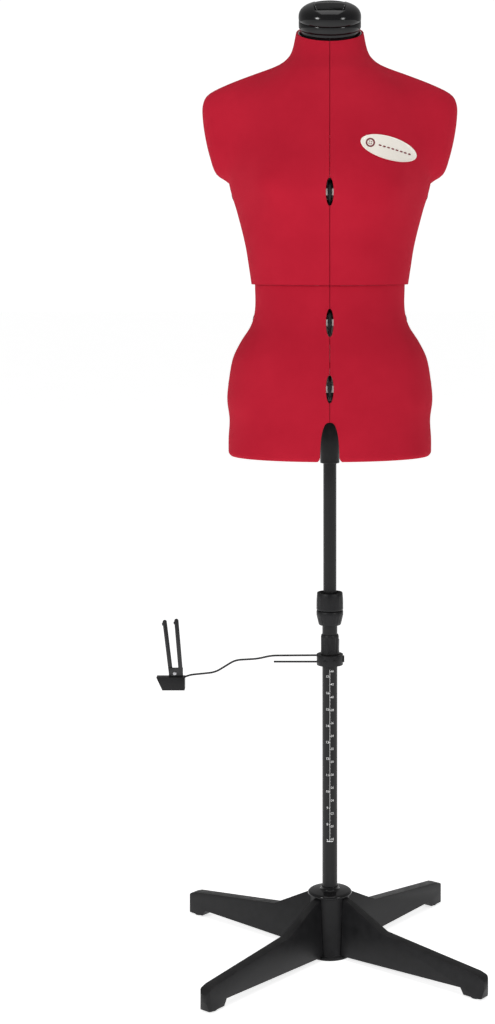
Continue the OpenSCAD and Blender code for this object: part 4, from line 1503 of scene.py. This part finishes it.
@dataclass
class Neck:
    """The collar in the neck and the domed cap that turns on it, both tilted forward."""

    height: float = 1430.0
    tilt: float = 20.0
    radius: float = 48.5
    break_z: float = 18.6
    shoulder_z: float = 23.0
    top: float = 47.4
    dome_power: float = 2.6
    grip_half: float = 5.0
    scoop_near: tuple[float, float] = (19.4, 33.0)
    scoop_far: tuple[float, float] = (26.0, 47.8)
    scoop_top: tuple[float, float] = (27.5, 51.0)
    scoop_end: float = 52.0
    scoop_edge: float = 2.4
    rim_edge: float = 0.9
    dome_steps: int = 28
    steps: int = 128

    @property
    def matrix(self) -> Matrix:
        """Where the neck's rim is, as a matrix."""
        return (Matrix.Translation((0, 0, self.height * MM))
                @ Matrix.Rotation(math.radians(self.tilt), 4, "X"))

    def _scoop(self, sign: int) -> bpy.types.Object:
        """Shape the cutter of one finger scoop, whose floor falls towards the grip bar.

        Args:
            sign: Which side of the grip bar it cuts, 1 or -1.

        Returns:
            The cutter, linked to the scene.
        """
        shape = bmesh.new()
        bmesh.ops.create_cube(shape, size=2.0)
        for vert in shape.verts:
            far = vert.co.y > 0
            half, z = self.scoop_top if vert.co.z > 0 else self.scoop_far if far else self.scoop_near
            y = self.scoop_end if far else self.grip_half
            vert.co = Vector((half * vert.co.x, sign * y, z)) * MM
        bmesh.ops.recalc_face_normals(shape, faces=shape.faces[:])
        soften(shape, self.scoop_edge, 3)
        mesh = bpy.data.meshes.new("scoop")
        shape.to_mesh(mesh)
        shape.free()
        cutter = bpy.data.objects.new("scoop", mesh)
        bpy.context.scene.collection.objects.link(cutter)
        return cutter

    def _cap(self) -> bmesh.types.BMesh:
        """Shape the domed cap, with both scoops cut and its edges rounded.

        Returns:
            The cap with its spindle.
        """
        z, last = self.break_z, self.dome_steps
        profile = [(0, z), (46.9, z), (47.8, z + 0.4), (48.3, z + 1.2)]
        for k in range(last + 1):
            turn = math.pi / 2 * k / last
            share = math.sin(turn) ** (2 / self.dome_power)
            out = max(0.0, math.cos(turn)) ** (2 / self.dome_power) if k < last else 0.0
            profile.append((self.radius * out, self.shoulder_z + (self.top - self.shoulder_z) * share))
        dome = lathe(profile, steps=self.steps)
        mesh = bpy.data.meshes.new("dome")
        dome.to_mesh(mesh)
        dome.free()
        blank = bpy.data.objects.new("dome", mesh)
        bpy.context.scene.collection.objects.link(blank)
        cutters = [self._scoop(s) for s in (-1, 1)]
        for cutter in cutters:
            cut = blank.modifiers.new("cut", "BOOLEAN")
            cut.object, cut.operation, cut.solver = cutter, "DIFFERENCE", "EXACT"
        rim = blank.modifiers.new("rim", "BEVEL")
        rim.width, rim.segments = self.rim_edge * MM, 3
        rim.limit_method, rim.angle_limit = "ANGLE", math.radians(35)
        bpy.context.view_layer.update()
        done = bpy.data.meshes.new_from_object(blank.evaluated_get(bpy.context.evaluated_depsgraph_get()))
        shape = bmesh.new()
        shape.from_mesh(done)
        for holder in [blank, *cutters]:
            bpy.data.objects.remove(holder)
        bpy.data.meshes.remove(done)
        bmesh.ops.remove_doubles(shape, verts=shape.verts[:], dist=1e-6)
        inside = self.break_z + 2
        spindle = lathe([(0, inside), (3.95, inside), (3.95, -7.4), (3.4, -8), (0, -8)], steps=32)
        return joined([shape, spindle])

    def build(self, shop: Workshop) -> None:
        """Make the collar and the cap.

        Args:
            shop: The workshop that turns shapes into pieces.
        """
        collar = lathe([(4, -26), (30, -26), (36, -23.8), (42.5, -20), (43.8, -14), (44.5, -8), (44.5, 1.1),
                        (44.9, 1.4), (46, 1.4), (46.6, 2), (46.6, 5), (46.9, 6.1), (47.8, 7.4), (48.3, 8.6),
                        (48.3, 17.2), (47.9, 18), (47.2, 18.3), (4, 18.3)], steps=self.steps, closed=True)
        shop.piece(moved(collar, self.matrix), "neck_collar_ring", CAP_PLASTIC, "neck_collar")
        shop.piece(moved(self._cap(), self.matrix), "neck_cap_dome", CAP_PLASTIC, "neck_cap", sharp=30.0)


# ---------------------------------------------------------------- stand


@dataclass
class Stand:
    """Hub, cover disc, legs and pads, with the edges that a mould leaves."""

    leg_edge: float = 1.8
    steps: int = 128

    def build(self, shop: Workshop) -> None:
        """Make the stand's pieces from their CAD shapes.

        Args:
            shop: The workshop that turns shapes into pieces.
        """
        for name in ("leg_front_left", "leg_front_right", "leg_back_left", "leg_back_right"):
            leg = refined(shop.nodes[name], self.leg_edge, 3)
            shop.piece(leg, f"{name}_moulding", BASE_PLASTIC, name)
        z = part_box("hub_disc")[0].z / MM
        disc = lathe([(11.8, z), (33.2, z), (34, z + 0.8), (34, z + 2.6), (33.2, z + 3.6), (31.4, z + 4.8),
                      (30.4, z + 5.1), (17, z + 5.9), (15.6, z + 6.2), (14.2, z + 7.2), (13.6, z + 8.2),
                      (13.6, z + 10.6), (13.2, z + 11.6), (12.4, z + 12), (11.8, z + 12)],
                     self.steps, closed=True)
        shop.piece(disc, "hub_cover_disc", CAP_PLASTIC, "hub_disc")
        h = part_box("hub")[1].z / MM
        hub = lathe([(0, 0), (33.6, 0), (34.3, 0.5), (34.5, 1.2), (34.5, 2.9), (34, 3.9), (32.6, 4.9),
                     (30.6, 5.5), (30, 6.4), (30, h - 0.8), (29.2, h), (11.7, h), (11.7, 8), (0, 8)],
                    self.steps)
        shop.piece(hub, "hub_barrel", BASE_PLASTIC, "hub")
        shop.piece(self._pads(shop.nodes["foot_pads"]), "foot_pad_set", PAD_RUBBER, "foot_pads")

    @staticmethod
    def _pads(source: bpy.types.Object) -> bmesh.types.BMesh:
        """Shape the four pads, each hollowed a little in its sole.

        Args:
            source: The pads' CAD node, which says where they are.

        Returns:
            The pads.
        """
        corners = [v.co for v in source.data.vertices]
        pads = []
        for sx, sy in ((1, 1), (-1, 1), (-1, -1), (1, -1)):
            spots = [c for c in corners if c.x * sx > 0 and c.y * sy > 0]
            centre = Vector((sum(c.x for c in spots), sum(c.y for c in spots), 0)) / len(spots)
            pad = lathe([(0, 0.6), (4.4, 0.6), (4.8, 0), (7.3, 0), (8, 0.7), (8, 3), (0, 3)], 48)
            pads.append(moved(pad, Matrix.Translation(centre)))
        return joined(pads)


@dataclass
class Collet:
    """The two-part clamp on the pole: a ribbed body and a fluted nut with a funnel mouth."""

    flutes: int = 10
    flute_depth: float = 0.35
    ribs: int = 20
    rib_depth: float = 0.55
    steps: int = 160

    def build(self, shop: Workshop) -> None:
        """Make the body and the nut.

        Args:
            shop: The workshop that turns shapes into pieces.
        """
        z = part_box("collet_body")[0].z / MM
        body = lathe([(11.72, z), (16.6, z), (17.3, z + 0.7), (18.6, z + 6), (20.0, z + 12), (20.8, z + 15.4),
                      (20.8, z + 21), (20.2, z + 21.8), (15, z + 22), (15, z + 34), (14.4, z + 37),
                      (13.5, z + 39), (11.72, z + 39)], self.steps, closed=True)
        scalloped(body, self.ribs, self.rib_depth, z + 1, z + 15, 16.9)
        shop.piece(body, "collet_body_moulding", BASE_PLASTIC, "collet_body")
        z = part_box("collet_nut")[0].z / MM
        nut = lathe([(15.3, z), (20.1, z), (20.6, z + 0.5), (21, z + 2.6), (21, z + 4), (21, z + 10),
                     (20.9, z + 16), (20.5, z + 21), (19.9, z + 26.2), (19.5, z + 26.9), (18.7, z + 27),
                     (15.6, z + 23), (11.2, z + 19), (11.2, z + 17), (13.8, z + 16.5), (15.3, z + 11.5)],
                    self.steps, closed=True)
        scalloped(nut, self.flutes, self.flute_depth, z + 3.4, z + 22, 19.5)
        shop.piece(nut, "collet_nut_moulding", BASE_PLASTIC, "collet_nut")


@dataclass
class PrintedRule:
    """The rule on the lower tube: inches up one side of a fine line, centimetres up the other."""

    low: float = 177.0
    high: float = 443.0
    inch: float = 25.4
    half_centimetre: float = 5.0
    stand_off: float = 0.06
    ink: float = 0.05
    letter_size: float = 5.4

    def _wrapped(self, shape: bmesh.types.BMesh, radius: float) -> bmesh.types.BMesh:
        """Bend a flat drawing on to the tube's front.

        Args:
            shape: The drawing, in millimetres, with X round the tube.
            radius: The tube's radius.

        Returns:
            The same shape, in metres.
        """
        for vert in shape.verts:
            turn = vert.co.x / radius
            r = radius + self.stand_off + vert.co.y
            vert.co = Vector((r * math.sin(turn), -r * math.cos(turn), vert.co.z)) * MM
        return shape

    def _mark(self, x0: float, x1: float, z: float, thick: float) -> bmesh.types.BMesh:
        """Draw one printed line across the rule.

        Args:
            x0: Where it starts.
            x1: Where it ends.
            z: Its height.
            thick: Its thickness.

        Returns:
            The line, in millimetres.
        """
        shape = bmesh.new()
        bmesh.ops.create_cube(shape, size=1.0)
        cuts = [e for e in shape.edges if abs(e.verts[0].co.x - e.verts[1].co.x) > 0.5]
        bmesh.ops.subdivide_edges(shape, edges=cuts, cuts=3, use_grid_fill=True)
        bmesh.ops.scale(shape, vec=(x1 - x0, self.ink, thick), verts=shape.verts[:])
        bmesh.ops.translate(shape, vec=((x0 + x1) / 2, 0, z), verts=shape.verts[:])
        return shape

    def _number(self, value: int, x: float, z: float, size: float) -> bmesh.types.BMesh:
        """Draw a printed number.

        Args:
            value: The number.
            x: Its centre across the rule.
            z: The height of its centre.
            size: The size of its letters.

        Returns:
            The number, in millimetres.
        """
        text = bpy.data.curves.new("number", "FONT")
        text.body, text.size, text.align_x, text.align_y = str(value), size, "CENTER", "CENTER"
        text.resolution_u, text.extrude, text.offset = 2, self.ink / 2, 0.02
        holder = bpy.data.objects.new("number", text)
        mesh = bpy.data.meshes.new_from_object(holder)
        shape = bmesh.new()
        shape.from_mesh(mesh)
        bpy.data.meshes.remove(mesh)
        bpy.data.curves.remove(text)
        bmesh.ops.remove_doubles(shape, verts=shape.verts[:], dist=1e-5)
        moved(shape, Matrix.Translation((x, 0, z)) @ Matrix.Rotation(math.radians(90), 4, "X"))
        return shape

    def build(self, shop: Workshop) -> None:
        """Print the rule on the tube.

        Args:
            shop: The workshop that turns shapes into pieces.
        """
        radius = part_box("lower_tube")[1].x / MM
        drawn = [self._mark(-0.25, 0.25, (self.low + self.high) / 2, self.high - self.low),
                 self._mark(-5, 5, self.low, 1.2)]
        for k in range(math.ceil(self.low / self.inch), int(self.high / self.inch) + 1):
            drawn.append(self._mark(-1.6, 0, k * self.inch, 0.7))
            drawn.append(self._number(k, -4.0, k * self.inch + 0.2, self.letter_size))
        step = self.half_centimetre
        for k in range(math.ceil(self.low / step), int(self.high / step) + 1):
            even = k % 4 == 0
            long = 1.5 if even else 1.2 if k % 2 == 0 else 0.8
            drawn.append(self._mark(0, long, k * step, 0.6 if even else 0.35))
            if even:
                drawn.append(self._number(k // 2, 3.9, k * step + 0.2, self.letter_size * 0.9))
        shop.piece(self._wrapped(joined(drawn), radius), "printed_rule", RULE_PRINT, "lower_tube",
                   replace=False)


# ---------------------------------------------------------------- hem marker


@dataclass
class HemMarker:
    """Sleeve, swinging collar, wire arm, squeeze lever, block and pin fork."""

    wire: float = 3.0
    arm_corners: tuple[tuple[float, float], ...] = (
        (-20, 463), (-91, 462.5), (-112, 457.5), (-147, 455.5), (-178, 436.5), (-217, 432.5), (-229, 428))
    lever_corners: tuple[tuple[float, float], ...] = ((-18, 453), (-87, 453))
    bore: float = 11.75
    flutes: int = 8
    flute_depth: float = 0.8
    steps: int = 128

    def build(self, shop: Workshop) -> None:
        """Make the hem marker's pieces.

        Args:
            shop: The workshop that turns shapes into pieces.
        """
        z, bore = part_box("marker_sleeve")[0].z / MM, self.bore
        sleeve = lathe([(bore, z), (13.5, z), (13.9, z + 0.4), (13.9, z + 19), (14.8, z + 19.3),
                        (14.7, z + 20.5), (14.2, z + 24), (14.2, z + 44), (13.9, z + 46.4), (12.9, z + 48.8),
                        (12.4, z + 49), (bore, z + 49)], self.steps, closed=True)
        scalloped(sleeve, self.flutes, self.flute_depth, z + 23, z + 45, 13.4)
        shop.piece(sleeve, "marker_sleeve_moulding", BASE_PLASTIC, "marker_sleeve")
        leaf = block((13.4, -2.4, z + 21), (14.9, 2.4, z + 41), 0.35)
        shop.piece(leaf, "marker_sleeve_leaf_spring", SCREW_STEEL, "marker_sleeve", replace=False)
        shop.piece(refined(shop.nodes["marker_collar"], 0.7), "marker_collar_moulding", BASE_PLASTIC,
                   "marker_collar")
        arm = rod_along(bent_route(list(self.arm_corners), 9.0), self.wire / 2)
        shop.piece(arm, "marker_arm_wire", SPRING_WIRE, "marker_arm")
        lever = rod_along(bent_route(list(self.lever_corners), 4.0), self.wire / 2)
        shop.piece(lever, "release_lever_wire", SPRING_WIRE, "release_lever")
        for node, edge, finish in (("marker_block", 0.8, BASE_PLASTIC), ("fork_fixed", 0.35, SPRING_WIRE),
                                   ("fork_gate", 0.35, SPRING_WIRE), ("fork_rivet", 0.3, SCREW_STEEL)):
            shop.piece(refined(shop.nodes[node], edge), f"{node}_piece", finish, node)


# ---------------------------------------------------------------- mechanism


@dataclass
class Mechanism:
    """The frame inside the torso, and the socket that shows in the arch at the hem."""

    edges: dict[str, float] = field(default_factory=lambda: {
        "length_knob": 0.8, "lower_crosshead": 0.6, "upper_crosshead": 0.6, "lower_left_carrier": 0.5,
        "lower_right_carrier": 0.5, "upper_left_carrier": 0.5, "upper_right_carrier": 0.5,
        "lower_front_yoke": 0.5, "lower_back_yoke": 0.5, "upper_front_yoke": 0.5, "upper_back_yoke": 0.5})

    def build(self, shop: Workshop) -> None:
        """Round the mechanism's edges and turn the socket.

        Args:
            shop: The workshop that turns shapes into pieces.
        """
        for node, edge in self.edges.items():
            finish = SLOT_FINISHES[shop.slot_of[node]]
            shop.piece(refined(shop.nodes[node], edge, 2), f"{node}_piece", finish, node)
        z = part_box("pole_socket")[0].z / MM
        socket = lathe([(10.25, z), (14.4, z), (15, z + 0.7), (15, z + 13), (17, z + 30), (17, z + 48),
                        (15.6, z + 62), (12.2, z + 74), (10.25, z + 74)], closed=True)
        shop.piece(socket, "pole_socket_moulding", BASE_PLASTIC, "pole_socket")


# ---------------------------------------------------------------- studio


@dataclass
class Studio:
    """Plain pale floor, soft light and the camera."""

    eye: tuple[float, float, float] = (0.003, -2.869, 1.094)
    tilt: float = 0.22
    lens: float = 65.0
    shift_x: float = -0.0823
    shift_y: float = -0.25
    aim: tuple[float, float, float] = (0.0, 0.0, 1.0)
    floor_radius: float = 30.0
    floor_glow: float = 0.72
    sky_seen: float = 1.05
    sky_lit: float = 0.30

    def camera(self) -> None:
        """Set the camera up in front of the form."""
        data = bpy.data.cameras.new("camera")
        data.lens, data.shift_x, data.shift_y = self.lens, self.shift_x, self.shift_y
        made = bpy.data.objects.new("camera", data)
        made.location = self.eye
        made.rotation_euler = (math.radians(90 - self.tilt), 0, 0)
        bpy.context.scene.collection.objects.link(made)
        bpy.context.scene.camera = made

    def _lamp(self, name: str, place: tuple[float, float, float], size: tuple[float, float],
              power: float) -> None:
        """Hang a soft box that faces the torso.

        Args:
            name: The lamp's name.
            place: Where it hangs, in metres.
            size: Its width and height in metres.
            power: Its power in watts.
        """
        data = bpy.data.lights.new(name, "AREA")
        data.shape, data.size, data.size_y, data.energy = "RECTANGLE", *size, power
        made = bpy.data.objects.new(name, data)
        made.location = place
        made.rotation_euler = (Vector(self.aim) - Vector(place)).to_track_quat("-Z", "Y").to_euler()
        bpy.context.scene.collection.objects.link(made)

    def _floor(self) -> None:
        """Lay the pale floor."""
        shape = bmesh.new()
        bmesh.ops.create_circle(shape, cap_ends=True, segments=96, radius=self.floor_radius)
        mesh = bpy.data.meshes.new("floor")
        shape.to_mesh(mesh)
        shape.free()
        material = bpy.data.materials.new("floor_paper")
        material.use_nodes = True
        wire = Wiring(material.node_tree)
        shader = material.node_tree.nodes["Principled BSDF"]
        place = wire.node("ShaderNodeTexCoord").outputs["Object"]
        tone = wire.span(wire.noise(place, 3.0, 4.0), 0.3, 0.7)
        wire.tree.links.new(wire.blend(tone, (0.90, 0.90, 0.90, 1), (0.93, 0.93, 0.93, 1)),
                            shader.inputs["Base Color"])
        shader.inputs["Roughness"].default_value = 0.9
        shader.inputs["Specular IOR Level"].default_value = 0.1
        shader.inputs["Emission Color"].default_value = (1, 1, 1, 1)
        shader.inputs["Emission Strength"].default_value = self.floor_glow
        mesh.materials.append(material)
        made = bpy.data.objects.new("floor", mesh)
        bpy.context.scene.collection.objects.link(made)

    def _sky(self) -> None:
        """Surround the studio with white that is seen brighter than it lights."""
        world = bpy.data.worlds.new("studio_white")
        world.use_nodes = True
        wire = Wiring(world.node_tree)
        back = world.node_tree.nodes["Background"]
        path = wire.node("ShaderNodeLightPath").outputs["Is Camera Ray"]
        strength = wire.span(path, 0.0, 1.0, self.sky_lit, self.sky_seen)
        wire.tree.links.new(strength, back.inputs["Strength"])
        back.inputs["Color"].default_value = (1, 1, 1, 1)
        bpy.context.scene.world = world

    def build(self) -> None:
        """Set up the whole studio."""
        self.camera()
        self._floor()
        self._sky()
        self._lamp("key", (-2.6, -2.6, 2.3), (0.7, 1.0), 48.0)
        self._lamp("fill", (2.6, -2.4, 2.1), (0.7, 1.0), 26.0)
        self._lamp("top", (0.0, -0.3, 4.0), (2.0, 2.0), 24.0)
        bpy.context.scene.view_settings.view_transform = "Standard"


# ---------------------------------------------------------------- main


def main() -> None:
    """Build the dress form round its frame."""
    logging.basicConfig(level=logging.INFO, format="%(message)s")
    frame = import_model()
    Studio().build()
    shop = Workshop(frame)
    skin = TorsoSkin()
    dials = tuple(DialSpot(word, half, sum(c.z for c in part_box(f"{word}_dial_front")) / 2 / MM)
                  for word, half in (("hip", Half.LOWER), ("waist", Half.LOWER), ("bust", Half.UPPER)))
    pattern = CoverPattern(skin, dials)
    for half in Half:
        for face in Face:
            for side in Side:
                TorsoPanel(pattern, half, face, side).build(shop)
    Badge(skin, CoverPattern.CLOTH.seam_gap).build(shop)
    for dial in dials:
        for place in ("front", "back", "left", "right"):
            ThumbWheel(f"{dial.word}_dial_{place}").build(shop)
    for part in (Neck(), Stand(), Collet(), PrintedRule(), HemMarker(), Mechanism()):
        part.build(shop)
    shop.dress_frame()


if __name__ == "__main__":
    main()
